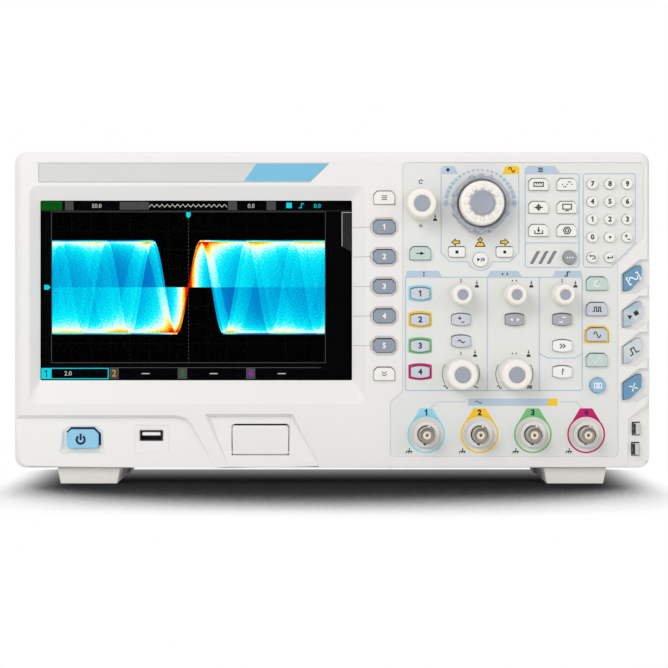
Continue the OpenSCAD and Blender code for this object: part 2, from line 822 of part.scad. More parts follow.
module main_board() color([0.1, 0.35, 0.2]) {
    rear = main_face - board_t;
    chip_at = shield_at + [shield_size.x + chip_gap, chip_gap / 2];
    memory_at = shield_at + [memory_pitch / 6, shield_size.y + chip_gap];
    slab(rectangle(main_low, main_high), rear, main_face);
    chip(main_low + shield_at, shield_size, rear, shield_t);
    chip(main_low + chip_at, chip_size, rear, chip_t);
    chip(main_low + chip_at + [0, chip_size.y + chip_gap], chip_size, rear, sink_t);
    for (i = [0:3]) chip(main_low + memory_at + [memory_pitch * i, 0], memory_size, rear, memory_t);
}

supply_low = [left_x + 22, 52];
supply_high = [left_x + 104, case_h - 24];
supply_standoff = 5;
transformer_size = [34, 30];
transformer_t = 26;
cooler_size = [6, 60];
capacitor_r = 7.5;
capacitor_l = 24;

module power_supply() color([0.55, 0.45, 0.2]) {
    face = chassis_back - supply_standoff;
    rear = face - board_t;
    slab(rectangle(supply_low, supply_high), rear, face);
    for (x = [supply_low.x + 5, supply_high.x - 5], z = [supply_low.y + 5, supply_high.y - 5])
        rod([x, z], post_r, face, chassis_back);
    chip(supply_low + [12, 50], transformer_size, rear, transformer_t);
    chip(supply_low + [55, 12], cooler_size, rear, capacitor_l);
    for (i = [0:1]) rod(supply_low + [22, 16 + 18 * i], capacitor_r, rear - capacitor_l, rear);
}

encoder_w = 11;
encoder_h = 6.5;
bush_t = 1.5;
bush_top = panel_back - 2 * fit;
stem_end = board_face + 0.6;
switch_w = 6;
board_low = [softkey_x - 8.2, 40];
board_high = [right_x - 4, case_h - 13];
power_switch_face = -backing_d - flange_gap - flange_t - key_travel - tail_gap;

module key_board() color([0.15, 0.4, 0.25]) {
    difference() {
        union() {
            slab(rectangle(board_low, board_high), board_face - board_t, board_face);
            for (at = stems_at) {
                place(at) layer(board_face, board_face + encoder_h) square(encoder_w, center = true);
                rod(at, stem_d / 2 + bush_t, board_face, bush_top);
            }
            for (k = concat(panel_keys, round_keys, bezel_keys, [for (at = side_at) [at]]))
                place(k[0]) layer(board_face, board_face + switch_h) square(switch_w, center = true);
        }
        for (at = stems_at) rod(at, stem_d / 2 + run_gap, stem_end - fit, bush_top + over);
    }
    place(power_at) layer(chassis_face, power_switch_face) square(2 * switch_w, center = true);
}

fan_back = back + wall;
fan_front = fan_back + fan_t;
fan_bore_r = fan_w / 2 - 1.5;
fan_hub_r = 11;
fan_plate_t = 2.5;
fan_pin_r = 1.5;
fan_pin_end = fan_front - 3;
rotor_gap = 0.5;
blade_t = 1.2;

module fan_frame() color([0.12, 0.12, 0.13]) {
    difference() {
        place(fan_at) layer(fan_back, fan_front) square(fan_w, center = true);
        rod(fan_at, fan_bore_r, fan_back - over, fan_front + over);
    }
    rod(fan_at, fan_hub_r, fan_back, fan_back + fan_plate_t);
    for (turn = [45, 135])
        place(fan_at) rotate(turn) layer(fan_back, fan_back + fan_plate_t)
            square([2 * fan_bore_r + 1, 3], center = true);
    rod(fan_at, fan_pin_r, fan_back, fan_pin_end);
}

module fan_rotor() color([0.16, 0.16, 0.17]) {
    rear = fan_back + fan_plate_t + rotor_gap;
    front = fan_front - 1;
    difference() {
        rod(fan_at, fan_hub_r + 1, rear, front);
        rod(fan_at, fan_pin_r + run_gap, rear - over, fan_pin_end + rotor_gap);
    }
    for (i = [0:6])
        place(fan_at) rotate(360 / 7 * i) translate([fan_hub_r, 0, (rear + front) / 2]) rotate([35, 0, 0])
            translate([0, -blade_t / 2, -(front - rear) / 2])
                cube([fan_bore_r - fan_hub_r - 2, blade_t, front - rear]);
}

jack_bottom = -6;
lug_r = 1;
lug_reach = 1.1;
lug_back = 3.2;
lug_turn = 75;
insulator_r = 2.4;
contact_r = 1.1;

module input_jack() difference() {
    union() {
        translate([0, 0, chassis_face]) cylinder(r = jack_flange_r, h = panel_back - chassis_face);
        translate([0, 0, panel_back]) cylinder(r = jack_neck_r, h = dish_floor - panel_back);
        translate([0, 0, dish_floor]) cylinder(r = jack_flange_r, h = dish_sink + panel_sink + 1);
        translate([0, 0, dish_floor]) cylinder(d = jack_d, h = jack_proud - dish_floor);
        translate([0, 0, jack_proud - lug_back]) rotate(lug_turn) rotate([0, 90, 0])
            cylinder(r = lug_r, h = jack_d + 2 * lug_reach, center = true);
    }
    translate([0, 0, jack_bottom]) cylinder(d = jack_bore_d, h = jack_proud - jack_bottom + over);
}

module input_jacks() color([0.75, 0.74, 0.72]) for (at = jacks_at) place(at) input_jack();

module jack_insulators() color([0.96, 0.96, 0.95]) for (at = jacks_at) difference() {
    union() {
        rod(at, jack_bore_d / 2 - run_gap, jack_bottom, jack_bottom + 2);
        rod(at, insulator_r, jack_bottom, jack_proud - 1.5);
    }
    rod(at, contact_r, jack_bottom - over, jack_proud);
}

module jack_contacts() color([0.85, 0.65, 0.3]) for (at = jacks_at) difference() {
    rod(at, contact_r - run_gap, jack_bottom, jack_proud - 2);
    rod(at, contact_r / 2, jack_proud - 8, jack_proud);
}

usb_face = -2;
usb_shell = 0.4;
usb_tongue_h = 1.9;

module usb_port() {
    color([0.78, 0.78, 0.79]) place(usb_at) difference() {
        layer(chassis_face, usb_face) polygon(centred(usb_w, usb_h));
        layer(chassis_face - over, usb_face + over) polygon(inset(centred(usb_w, usb_h), usb_shell));
    }
    color([0.95, 0.95, 0.95]) place(usb_at) {
        layer(chassis_face, chassis_face + 3) polygon(inset(centred(usb_w, usb_h), usb_shell));
        translate([0, usb_h / 2 - usb_shell - usb_tongue_h / 2 - 0.5, 0])
            layer(chassis_face, usb_face - 1) square([usb_w - 2.6, usb_tongue_h], center = true);
    }
}

connector_front = -cover_sink - cover_t - 3;
connector_gap = 1;
connector_wall = 2;

module logic_connector() color([0.14, 0.14, 0.15]) place(port_at) {
    body = centred(port_w - 2 * connector_gap, port_h - 2 * connector_gap);
    difference() {
        layer(chassis_face, connector_front) polygon(body);
        layer(chassis_face + 3, connector_front + over) polygon(inset(body, connector_wall));
    }
    layer(chassis_face, connector_front - 3) square([port_w - 9, 3], center = true);
}

// The flap over the logic port, which swings down on its two stub pins
module logic_port_cover() color([0.9, 0.89, 0.87]) {
    left = port_at.x - port_w / 2 + cover_gap;
    right = port_at.x + port_w / 2 - cover_gap;
    top = port_at.y + port_h / 2 - cover_top_gap;
    intersection() {
        slab(rectangle([left, cover_axis_z], [right, top]), -cover_sink - cover_t, -cover_sink);
        place(port_at) layer(-backing_d, over) port_shape(cover_gap);
    }
    cross_rod(cover_t / 2, left, right, cover_axis_z, cover_axis_d);
    cross_rod(cover_pin_r, left - cover_gap - cover_pin_l, right + cover_gap + cover_pin_l,
        cover_axis_z, cover_axis_d);
}

terminal_face = 0.4;
terminal_eye_r = 1.2;

module probe_terminals() color([0.8, 0.8, 0.78]) for (at = terminals_at) difference() {
    union() {
        place(at) layer(-side_backing_d - terminal_flange, terminal_face)
            polygon(centred(terminal_w, terminal_h));
        place(at) layer(-side_backing_d - terminal_flange, -side_backing_d)
            polygon(centred(terminal_w + 4 * terminal_gap, terminal_h + 4 * terminal_gap));
    }
    cross_rod(terminal_eye_r, at.x - terminal_w, at.x + terminal_w, at.y, terminal_face - 2);
}

inlet_l = 25;
inlet_lip = 3;
inlet_cavity = 16;
blade_w = 2;
blade_h = 4;

module mains_inlet() {
    inside = inset(centred(inlet_w, inlet_h), 1.8);
    face = back + fit;
    color([0.1, 0.1, 0.11]) place(inlet_at) difference() {
        union() {
            layer(face, back + inlet_l) polygon(centred(inlet_w, inlet_h));
            layer(back + wall, back + wall + 2) polygon(inset(centred(inlet_w, inlet_h), -inlet_lip));
        }
        layer(face - over, face + inlet_cavity) polygon(inside);
    }
    color([0.8, 0.75, 0.6]) place(inlet_at) for (at = [[-7, -2], [0, 3.5], [7, -2]])
        translate(at) layer(face + 2, face + inlet_cavity) square([blade_w, blade_h], center = true);
}

module socket(at, w, h, thick, deep) place(at) difference() {
    layer(bay_floor, bay_floor + deep + 4) polygon(centred(w, h));
    layer(bay_floor - over, bay_floor + deep) polygon(inset(centred(w, h), thick));
}

module rear_connectors() color([0.74, 0.74, 0.75]) {
    for (at = aux_at) difference() {
        union() {
            rod(at, jack_d / 2, bay_floor - 10, bay_floor + wall + 8);
            rod(at, jack_neck_r + 1, bay_floor + wall, bay_floor + wall + 3);
        }
        rod(at, jack_bore_d / 2, bay_floor - 10 - over, bay_floor + wall + 4);
    }
    socket(network_at, network_w, network_h, 2, 14);
    socket(square_usb_at, square_usb_w, square_usb_h, 1.5, 12);
}

module screw(at, seat, tip) {
    rod(at, screw_head_r, seat - screw_head_t, seat);
    rod(at, screw_r, seat, tip);
}

module case_screws() color([0.6, 0.6, 0.62]) {
    for (at = case_screws_at) screw(at, case_screw_seat, seam + screw_grip - 1);
    for (at = chassis_posts_at) screw(at, chassis_back, chassis_face + screw_grip - 2);
}

// Front feet with a pocket for their tilt legs, and plain rear feet
foot_in = 42.2;
foot_taper = 2;
foot_front = -4;
foot_wall = 3;
foot_lift = 1;
leg_gap = 0.4;
leg_pin_r = 1.5;
leg_pin_l = 2.5;
leg_axis_d = foot_front - foot_wall - leg_gap - leg_t / 2;
leg_axis_z = foot_lift + leg_t / 2 - foot_h;
leg_end = foot_front - foot_l + foot_wall + leg_gap;
pocket_half = leg_w / 2 + leg_gap;
pocket_roof = leg_axis_z + leg_t / 2 + leg_gap;
feet_x = [left_x + foot_in, right_x - foot_in];
foot_outline = [
    [-foot_w / 2 + foot_taper, -foot_h], [foot_w / 2 - foot_taper, -foot_h], [foot_w / 2, 0], [-foot_w / 2, 0]
];

module feet() color([0.86, 0.855, 0.84]) for (x = feet_x) {
    difference() {
        place([x, 0]) layer(foot_front - foot_l, foot_front) polygon(foot_outline);
        place([x, 0]) layer(leg_end - leg_gap, leg_axis_d + leg_t / 2 + leg_gap)
            polygon(rectangle([-pocket_half, -foot_h - over], [pocket_half, pocket_roof]));
        cross_rod(leg_pin_r + run_gap, x - pocket_half - leg_pin_l - fit, x + pocket_half + leg_pin_l + fit,
            leg_axis_z, leg_axis_d);
    }
    place([x, 0]) layer(back + 10, back + 32) polygon(foot_outline);
}

module tilt_leg(x) color([0.84, 0.835, 0.82]) {
    place([x, 0]) layer(leg_end, leg_axis_d)
        polygon(rectangle([-leg_w / 2, leg_axis_z - leg_t / 2], [leg_w / 2, leg_axis_z + leg_t / 2]));
    cross_rod(leg_t / 2, x - leg_w / 2, x + leg_w / 2, leg_axis_z, leg_axis_d);
    cross_rod(leg_pin_r, x - pocket_half - leg_pin_l, x + pocket_half + leg_pin_l, leg_axis_z, leg_axis_d);
}

module tilt_leg_left() tilt_leg(feet_x[0]);
module tilt_leg_right() tilt_leg(feet_x[1]);

// A knob on its stem: a slightly tapered grip with a rounded front edge and a sunk centre
knob_base = panel_face + 1.2;
knob_skirt = 2.5;
knob_taper = 1.2;
knob_edge = 1.6;
knob_edge_steps = 5;
knob_dish = 0.6;

module knob(at, d, dish_d, proud) place(at) rotate_extrude() polygon(concat(
    [
        [0, stem_end], [stem_d / 2, stem_end], [stem_d / 2, knob_base], [d / 2, knob_base],
        [d / 2, knob_base + knob_skirt]
    ],
    [for (k = [0:knob_edge_steps]) let (turn = 90 * k / knob_edge_steps) [
        (d - knob_taper) / 2 - knob_edge * (1 - cos(turn)), proud - knob_edge * (1 - sin(turn))
    ]],
    [[dish_d / 2 + knob_dish, proud], [dish_d / 2, proud - knob_dish], [0, proud - knob_dish]]
));

cream = [0.955, 0.945, 0.925];

module multipurpose_knob() color(cream) knob(multi_at, multi_knob_d, 9.4, knob_proud);
module vertical_position_knob() color(cream)
    knob(small_knobs_at[0], small_knob_d, 6.1, knob_proud);
module horizontal_position_knob() color(cream)
    knob(small_knobs_at[1], small_knob_d, 6.1, knob_proud);
module trigger_level_knob() color(cream)
    knob(small_knobs_at[2], small_knob_d, 6.1, knob_proud);
module vertical_scale_knob() color(cream)
    knob(large_knobs_at[0], large_knob_d, 9.3, knob_proud);
module horizontal_scale_knob() color(cream)
    knob(large_knobs_at[1], large_knob_d, 9.3, knob_proud);

jog_bumps = 12;
jog_bump_ring = 9.3;
jog_bump_r = 1.2;
jog_bump_h = 0.7;

module jog_dial() color(cream) {
    knob(jog_at, jog_d, 14.3, jog_proud - jog_bump_h);
    for (i = [0:jog_bumps - 1])
        rod(jog_at + turned([jog_bump_ring, 0], 360 / jog_bumps * i), jog_bump_r,
            jog_proud - jog_bump_h - over, jog_proud);
}

shuttle_base = panel_face + 0.4;
shuttle_nub_r = 1.25;
shuttle_nub_h = 0.4;
shuttle_nub_turn = 20;

module shuttle_ring() color([0.6, 0.62, 0.68]) {
    inner = collar_out + run_gap;
    outer = shuttle_d / 2;
    nub_ring = outer - 0.2;
    top = shuttle_proud - shuttle_nub_h;
    place(jog_at) rotate_extrude() polygon([
        [inner, shuttle_base], [outer, shuttle_base], [outer, top - 2], [outer - 0.5, top], [inner, top]
    ]);
    for (side = [0:3], i = [-1:1])
        rod(jog_at + turned([nub_ring, 0], 90 * side + shuttle_nub_turn * i), shuttle_nub_r,
            shuttle_base, shuttle_proud);
}

// A key: its cap through the wall, a flange behind the wall and a tail towards its switch
module key(at, seat, proud, tail) {
    step = seat - flange_gap;
    place(at) {
        layer(step, proud) children(0);
        layer(step - flange_t, step) children(1);
        translate([0, 0, tail]) cylinder(d = tail_d, h = step - flange_t - tail);
    }
}

module cut_cap(at, outline, seat, proud) key(at, seat, proud, key_tail) {
    polygon(outline);
    polygon(inset(outline, -flange_w));
}

module round_cap(at, r) key(at, panel_back, key_proud, key_tail) {
    circle(r);
    circle(r + flange_w);
}

module panel_cap(at, outline) cut_cap(at, outline, panel_back, key_proud);
module softkey(i) color([0.5, 0.55, 0.61])
    cut_cap(softkey_at[i], softkey_outline, -front_wall, softkey_proud);
module side_key(i) key(side_at[i], -side_backing_d, side_proud, key_tail) {
    polygon(side_outline);
    polygon(side_flange);
}

side_proud = 0.8;
white_key = [0.95, 0.95, 0.94];
grey_key = [0.8, 0.82, 0.85];
green_key = [0.67, 0.81, 0.75];
blue_key = [0.42, 0.63, 0.78];
clear_grey = [0.8, 0.85, 0.88];

module power_button() color([0.57, 0.8, 0.91])
    key(power_at, -backing_d, power_face, -backing_d - flange_gap - flange_t - skin) {
        polygon(power_outline);
        polygon(inset(power_outline, -flange_w));
    }
module menu_key() color(white_key) cut_cap(menu_key_at, wide_outline, -front_wall, key_proud);
module page_key() color(white_key) cut_cap(page_key_at, wide_outline, -front_wall, key_proud);
module softkey_1() softkey(0);
module softkey_2() softkey(1);
module softkey_3() softkey(2);
module softkey_4() softkey(3);
module softkey_5() softkey(4);
module channel_key_1() color(grey_key) panel_cap(channel_at[0], bowed_outline);
module channel_key_2() color(grey_key) panel_cap(channel_at[1], bowed_outline);
module channel_key_3() color(grey_key) panel_cap(channel_at[2], bowed_outline);
module channel_key_4() color(grey_key) panel_cap(channel_at[3], bowed_outline);
module auto_key() color(blue_key) side_key(0);
module run_stop_key() color(clear_grey) side_key(1);
module single_key() color(clear_grey) side_key(2);
module clear_key() color(blue_key) side_key(3);
module stop_key() color(white_key) panel_cap(stop_at, record_outline);
module play_key() color(white_key) round_cap(play_at, play_key_r);
module record_key() color(white_key) panel_cap(record_at, record_outline);
module record_set_key() color(green_key) panel_cap(record_set_at, wide_outline);
module mode_key() color(grey_key) round_cap(mode_at, mode_key_r);
module print_key() color(blue_key) round_cap(print_at, print_key_r);
module number_keys() color(white_key) for (at = number_at) round_cap(at, number_key_r);
module menu_keys() color(white_key) for (at = menu_at) panel_cap(at, menu_outline);
module math_keys() color(grey_key) for (at = math_at) panel_cap(at, bowed_outline);
module trigger_keys() color(grey_key) for (at = trigger_at) panel_cap(at, bowed_outline);
module analysis_keys() color(green_key) for (at = analysis_at) panel_cap(at, wide_outline);

front_bezel();
control_panel();
screen_window();
display_module();
name_strip();
rear_cover();
inner_chassis();
main_board();
key_board();
power_supply();
fan_frame();
fan_rotor();
input_jacks();
jack_insulators();
jack_contacts();
usb_port();
logic_connector();
logic_port_cover();
probe_terminals();
mains_inlet();
rear_connectors();
case_screws();
feet();
tilt_leg_left();
tilt_leg_right();
multipurpose_knob();
jog_dial();
shuttle_ring();
vertical_position_knob();
vertical_scale_knob();
horizontal_position_knob();
horizontal_scale_knob();
trigger_level_knob();
power_button();
menu_key();
softkey_1();
softkey_2();
softkey_3();
softkey_4();
softkey_5();
page_key();
channel_key_1();
channel_key_2();
channel_key_3();
channel_key_4();
auto_key();
run_stop_key();
single_key();
clear_key();
stop_key();
play_key();
record_key();
record_set_key();
mode_key();
print_key();
number_keys();
menu_keys();
math_keys();
trigger_keys();
analysis_keys();
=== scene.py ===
import json
import math

import bmesh
import bpy
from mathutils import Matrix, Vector

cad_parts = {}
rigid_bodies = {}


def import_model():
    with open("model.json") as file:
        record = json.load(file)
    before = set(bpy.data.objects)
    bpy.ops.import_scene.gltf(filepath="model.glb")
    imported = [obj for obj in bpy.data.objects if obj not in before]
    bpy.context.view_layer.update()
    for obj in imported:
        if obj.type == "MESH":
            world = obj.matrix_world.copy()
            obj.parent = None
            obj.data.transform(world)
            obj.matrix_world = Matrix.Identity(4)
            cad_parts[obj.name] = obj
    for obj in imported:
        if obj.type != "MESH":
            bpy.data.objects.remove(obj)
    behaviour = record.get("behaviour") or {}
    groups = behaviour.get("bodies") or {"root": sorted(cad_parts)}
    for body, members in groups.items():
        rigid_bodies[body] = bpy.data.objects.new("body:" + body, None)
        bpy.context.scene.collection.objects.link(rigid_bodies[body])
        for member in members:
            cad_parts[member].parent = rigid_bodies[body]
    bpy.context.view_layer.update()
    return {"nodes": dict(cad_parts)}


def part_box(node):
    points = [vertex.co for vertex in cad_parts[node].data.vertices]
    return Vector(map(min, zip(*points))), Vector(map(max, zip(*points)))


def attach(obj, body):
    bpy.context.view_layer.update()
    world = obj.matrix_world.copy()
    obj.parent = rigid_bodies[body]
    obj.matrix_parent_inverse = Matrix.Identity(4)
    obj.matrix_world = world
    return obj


for spare in list(bpy.data.objects):  # the lamp, camera and cube of an empty file
    bpy.data.objects.remove(spare)

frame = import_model()
nodes = frame["nodes"]
mm = 0.001
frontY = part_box("front_bezel")[0].y
print("frame loaded:", len(nodes), "CAD pieces")


# Shader sums

class Wire:  # one socket of a node; a sum written with it becomes Math nodes
    def __init__(self, finish, socket):
        self.finish = finish
        self.socket = socket

    def math(self, operation, *values):
        return self.finish.node("Math", {"operation": operation}, dict(enumerate(values)))

    def __add__(self, other):
        return self.math("ADD", self, other)

    def __sub__(self, other):
        return self.math("SUBTRACT", self, other)

    def __rsub__(self, other):
        return self.math("SUBTRACT", other, self)

    def __mul__(self, other):
        return self.math("MULTIPLY", self, other)

    def __truediv__(self, other):
        return self.math("DIVIDE", self, other)

    def __rtruediv__(self, other):
        return self.math("DIVIDE", other, self)

    def __pow__(self, other):
        return self.math("POWER", self, other)

    def __gt__(self, other):
        return self.math("GREATER_THAN", self, other)

    def __lt__(self, other):
        return self.math("LESS_THAN", self, other)

    def __and__(self, other):
        return self.math("MINIMUM", self, other)

    def __or__(self, other):
        return self.math("MAXIMUM", self, other)

    def __abs__(self):
        return self.math("ABSOLUTE", self)

    def floor(self):
        return self.math("FLOOR", self)

    __radd__ = __add__
    __rmul__ = __mul__


class Finish:  # a material and the nodes in it
    def __init__(self, name):
        self.material = bpy.data.materials.new(name)
        self.material.use_nodes = True
        self.tree = self.material.node_tree
        self.tree.nodes.clear()

    def node(self, kind, settings=None, sockets=None, out=0):
        made = self.tree.nodes.new("ShaderNode" + kind)
        for key, value in (settings or {}).items():
            if key == "stops":
                fillRamp(made.color_ramp, value)
            else:
                setattr(made, key, value)
        for key, value in (sockets or {}).items():
            if isinstance(value, Wire):
                self.tree.links.new(value.socket, made.inputs[key])
            else:
                made.inputs[key].default_value = value
        return Wire(self, made.outputs[out]) if made.outputs else None

    def place(self):  # where on the object, in metres
        return self.node("TexCoord", out="Object")

    def along(self, axis):
        return self.node("SeparateXYZ", sockets={0: self.place()}, out=axis)

    def stretched(self, scale):
        return self.node("VectorMath", {"operation": "MULTIPLY"}, {0: self.place(), 1: scale})

    def noise(self, scale, detail=2.0, where=None):
        return self.node("TexNoise", sockets={"Vector": where or self.place(), "Scale": scale,
                                              "Detail": detail})

    def between(self, amount, first, second):  # a mix of two colours
        if not any(isinstance(value, Wire) for value in (amount, first, second)):
            return tuple(a + (b - a) * amount for a, b in zip(first, second))
        return self.node("Mix", {"data_type": "RGBA"}, {0: amount, 6: first, 7: second}, 2)

    def ease(self, value, low, high):  # 0 below low, 1 above high, smooth between
        return self.node("MapRange", {"interpolation_type": "SMOOTHSTEP"},
                         {0: value, 1: low, 2: high})

    def bump(self, height, strength, distance):
        return self.node("Bump", sockets={"Height": height, "Strength": strength,
                                          "Distance": distance})

    def show(self, shader):
        self.node("OutputMaterial", sockets={"Surface": shader})
        return self.material

    def surface(self, sockets):
        return self.show(self.node("BsdfPrincipled", sockets=sockets))


def fillRamp(ramp, stops):
    while len(ramp.elements) < len(stops):
        ramp.elements.new(1.0)
    for element, (where, colour) in zip(ramp.elements, stops):
        element.position = where
        element.color = colour


def tone(red, green, blue):  # a colour in 0 to 255, as the shaders want it
    def linear(value):
        value /= 255
        return value / 12.92 if value <= 0.04045 else ((value + 0.055) / 1.055) ** 2.4
    return (linear(red), linear(green), linear(blue), 1.0)


def shaded(colour, share):
    return tuple(channel * share for channel in colour[:3]) + (1.0,)


# Finishes of the CAD pieces, one for each slot of the record

mouldings = {  # colour, roughness, depth of the moulded grain in mm, how far the tone drifts
    "bezel_plastic": {"colour": (239, 237, 234), "rough": 0.46, "grain": 0.016, "drift": 0.025},
    "panel_plastic": {"colour": (231, 232, 228), "rough": 0.5, "grain": 0.01, "drift": 0.02},
    "cover_plastic": {"colour": (234, 232, 228), "rough": 0.55, "grain": 0.03, "drift": 0.03},
    "foot_plastic": {"colour": (226, 224, 219), "rough": 0.6, "grain": 0.03, "drift": 0.04},
    "fan_plastic": {"colour": (30, 30, 32), "rough": 0.5, "grain": 0.02, "drift": 0.1},
    "dark_plastic": {"colour": (32, 32, 34), "rough": 0.42, "grain": 0.015, "drift": 0.08},
    "jack_white": {"colour": (244, 243, 239), "rough": 0.35, "grain": 0.006, "drift": 0.02},
    "knob_plastic": {"colour": (248, 243, 234), "rough": 0.42, "grain": 0.008, "drift": 0.02},
    "shuttle_plastic": {"colour": (170, 175, 188), "rough": 0.5, "grain": 0.012, "drift": 0.04},
    "key_white": {"colour": (243, 242, 236), "rough": 0.38, "grain": 0.006, "drift": 0.015},
    "key_grey": {"colour": (206, 211, 218), "rough": 0.38, "grain": 0.006, "drift": 0.02},
    "key_green": {"colour": (197, 215, 208), "rough": 0.38, "grain": 0.006, "drift": 0.02},
    "key_blue": {"colour": (100, 150, 184), "rough": 0.34, "grain": 0.006, "drift": 0.03},
    "softkey_slate": {"colour": (144, 154, 168), "rough": 0.36, "grain": 0.006, "drift": 0.03},
    "power_blue": {"colour": (146, 206, 233), "rough": 0.34, "grain": 0.006, "drift": 0.03},
}
metals = {  # colour, roughness, and how the finest scratches are drawn out along X, Y and Z
    "sheet_steel": {"colour": (190, 191, 192), "rough": 0.38, "brushed": (60, 900, 900)},
    "jack_metal": {"colour": (176, 171, 162), "rough": 0.22, "brushed": (700, 250, 700)},
    "contact_gold": {"colour": (226, 172, 92), "rough": 0.22, "brushed": (900, 300, 900)},
    "connector_metal": {"colour": (200, 200, 201), "rough": 0.28, "brushed": (800, 120, 800)},
    "screw_steel": {"colour": (172, 172, 174), "rough": 0.32, "brushed": (900, 900, 900)},
}
plasticWear = {"driftScale": 14.0, "glossScale": 160.0, "grainScale": 2600.0, "aged": (120, 112, 98),
               "glossSpread": 0.14, "grainStrength": 0.5}
metalWear = {"cloudScale": 90.0, "cloudShade": 0.86, "glossSpread": 0.22, "glossUp": 0.1,
             "scratchStrength": 0.25, "scratchDepth": 0.02}


def plasticSockets(finish, colour, look):  # grain, slow drift of tone and uneven gloss
    wear = plasticWear
    drift = finish.noise(wear["driftScale"], 3.0)
    gloss = finish.noise(wear["glossScale"])
    grain = finish.noise(wear["grainScale"])
    aged = finish.between(look["drift"], colour, tone(*wear["aged"]))
    return {
        "Base Color": finish.between(drift, aged, colour),
        "Roughness": gloss * wear["glossSpread"] + (look["rough"] - wear["glossSpread"] / 2),
        "Normal": finish.bump(grain, wear["grainStrength"], look["grain"] * mm),
    }


def mouldedPlastic(name, look):
    finish = Finish(name)
    return finish.surface(plasticSockets(finish, tone(*look["colour"]), look))


def wornMetal(name, look):
    finish = Finish(name)
    wear = metalWear
    scratches = finish.noise(1.0, 4.0, finish.stretched(look["brushed"]))
    cloud = finish.noise(wear["cloudScale"], 3.0)
    colour = tone(*look["colour"])
    return finish.surface({
        "Base Color": finish.between(cloud, shaded(colour, wear["cloudShade"]), colour),
        "Metallic": 1.0,
        "Roughness": scratches * wear["glossSpread"] + (look["rough"] - wear["glossUp"]),
        "Normal": finish.bump(scratches, wear["scratchStrength"], wear["scratchDepth"] * mm),
    })


keyBands = {  # keys of one body in two colours, the second between these heights in mm
    "trigger_keys": {"first": (246, 245, 242), "second": (168, 171, 176), "from": 88.0, "to": 110.0},
    "analysis_keys": {"first": (197, 215, 208), "second": (203, 208, 215), "from": 80.0, "to": 110.0},
}

keyTones = {"mode_key": (150, 153, 158), "print_key": (144, 186, 216)}  # colours of their own


def bandedKeys(name, look):
    finish = Finish(name)
    height = finish.along("Z")
    band = (height > look["from"] * mm) & (height < look["to"] * mm)
    colour = finish.between(band, tone(*look["first"]), tone(*look["second"]))
    return finish.surface(plasticSockets(finish, colour, mouldings["key_grey"]))


stripLook = {"dark": (208, 208, 206), "light": (219, 219, 217), "brushed": (25.0, 25.0, 2600.0),
             "rough": 0.32, "glossSpread": 0.2, "lineDepth": 0.01}


def brushedStrip():  # satin foil above the screen, brushed along its length
    look = stripLook
    finish = Finish("strip_grey")
    lines = finish.noise(1.0, 4.0, finish.stretched(look["brushed"]))
    return finish.surface({
        "Base Color": finish.between(lines, tone(*look["dark"]), tone(*look["light"])),
        "Roughness": lines * look["glossSpread"] + look["rough"],
        "Normal": finish.bump(lines, 0.2, look["lineDepth"] * mm),
    })


windowLook = {"ior": 1.05, "rough": 0.06}


def clearWindow():  # coated pane: next to no mirror image, and the display shows through
    finish = Finish("window_clear")
    mirror = finish.node("Fresnel", sockets={"IOR": windowLook["ior"]})
    through = finish.node("BsdfTransparent")
    gloss = finish.node("BsdfGlossy", sockets={"Roughness": windowLook["rough"]})
    return finish.show(finish.node("MixShader", sockets={0: mirror, 1: through, 2: gloss}))


displayLook = {"dark": (4, 4, 5), "light": (10, 10, 12), "speckleScale": 900.0, "rough": 0.2,
               "glossSpread": 0.1}


def displayBlack():  # dark glass of the display
    look = displayLook
    finish = Finish("display_black")
    speckle = finish.noise(look["speckleScale"])
    return finish.surface({
        "Base Color": finish.between(speckle, tone(*look["dark"]), tone(*look["light"])),
        "Roughness": speckle * look["glossSpread"] + look["rough"],
        "Specular IOR Level": 0.0,
    })


boardLook = {"lacquer": ((34, 96, 62), (24, 80, 52)), "track": (92, 140, 92), "trackScale": 160.0,
             "trackWidth": 0.03, "shift": 0.37, "glossScale": 300.0, "rough": 0.25,
             "glossSpread": 0.2, "lacquerDepth": 0.03}


def circuitBoard():  # green lacquer over copper tracks
    look = boardLook
    finish = Finish("circuit_board")
    upright = finish.node("Mapping", sockets={0: finish.place(), 2: (math.pi / 2, 0, 0)})
    spread = finish.node("VectorMath", {"operation": "MULTIPLY"},
                         {0: upright, 1: 3 * (look["trackScale"],)})
    first, second = (tone(*colour) for colour in look["lacquer"])
    tracks = finish.node("TexBrick", {"offset": look["shift"]}, {
        "Vector": spread, "Color1": first, "Color2": second, "Mortar": tone(*look["track"]),
        "Mortar Size": look["trackWidth"], "Scale": 1.0})
    gloss = finish.noise(look["glossScale"])
    return finish.surface({
        "Base Color": tracks,
        "Roughness": gloss * look["glossSpread"] + look["rough"],
        "Normal": finish.bump(gloss, 0.2, look["lacquerDepth"] * mm),
    })


frostLook = {"cloud": (184, 206, 218), "pale": (224, 231, 234), "cloudScale": 130.0,
             "cloudEnds": (0.35, 0.65), "clear": 0.12, "rough": 0.3, "grain": 0.006, "drift": 0.02}


def frostedKey():  # milky clear cap over a pale light guide
    look = frostLook
    finish = Finish("key_clear")
    cloud = finish.ease(finish.noise(look["cloudScale"], 1.0), *look["cloudEnds"])
    colour = finish.between(cloud, tone(*look["cloud"]), tone(*look["pale"]))
    sockets = plasticSockets(finish, colour, look)
    sockets["Transmission Weight"] = look["clear"]
    return finish.surface(sockets)


usbLook = {  # colours, the casing's and the inside's dark as painted shade of the port's depth, and in mm the metal rim and the tongue's half width, lower and upper edge
    "shadedShell": (92, 90, 88), "tongue": (248, 248, 246), "shadedMouth": (20, 18, 17), "rim": 0.3, "half": 5.4,
    "low": 0.05, "top": 2.1, "glossScale": 400.0, "rough": 0.26, "glossSpread": 0.14,
}


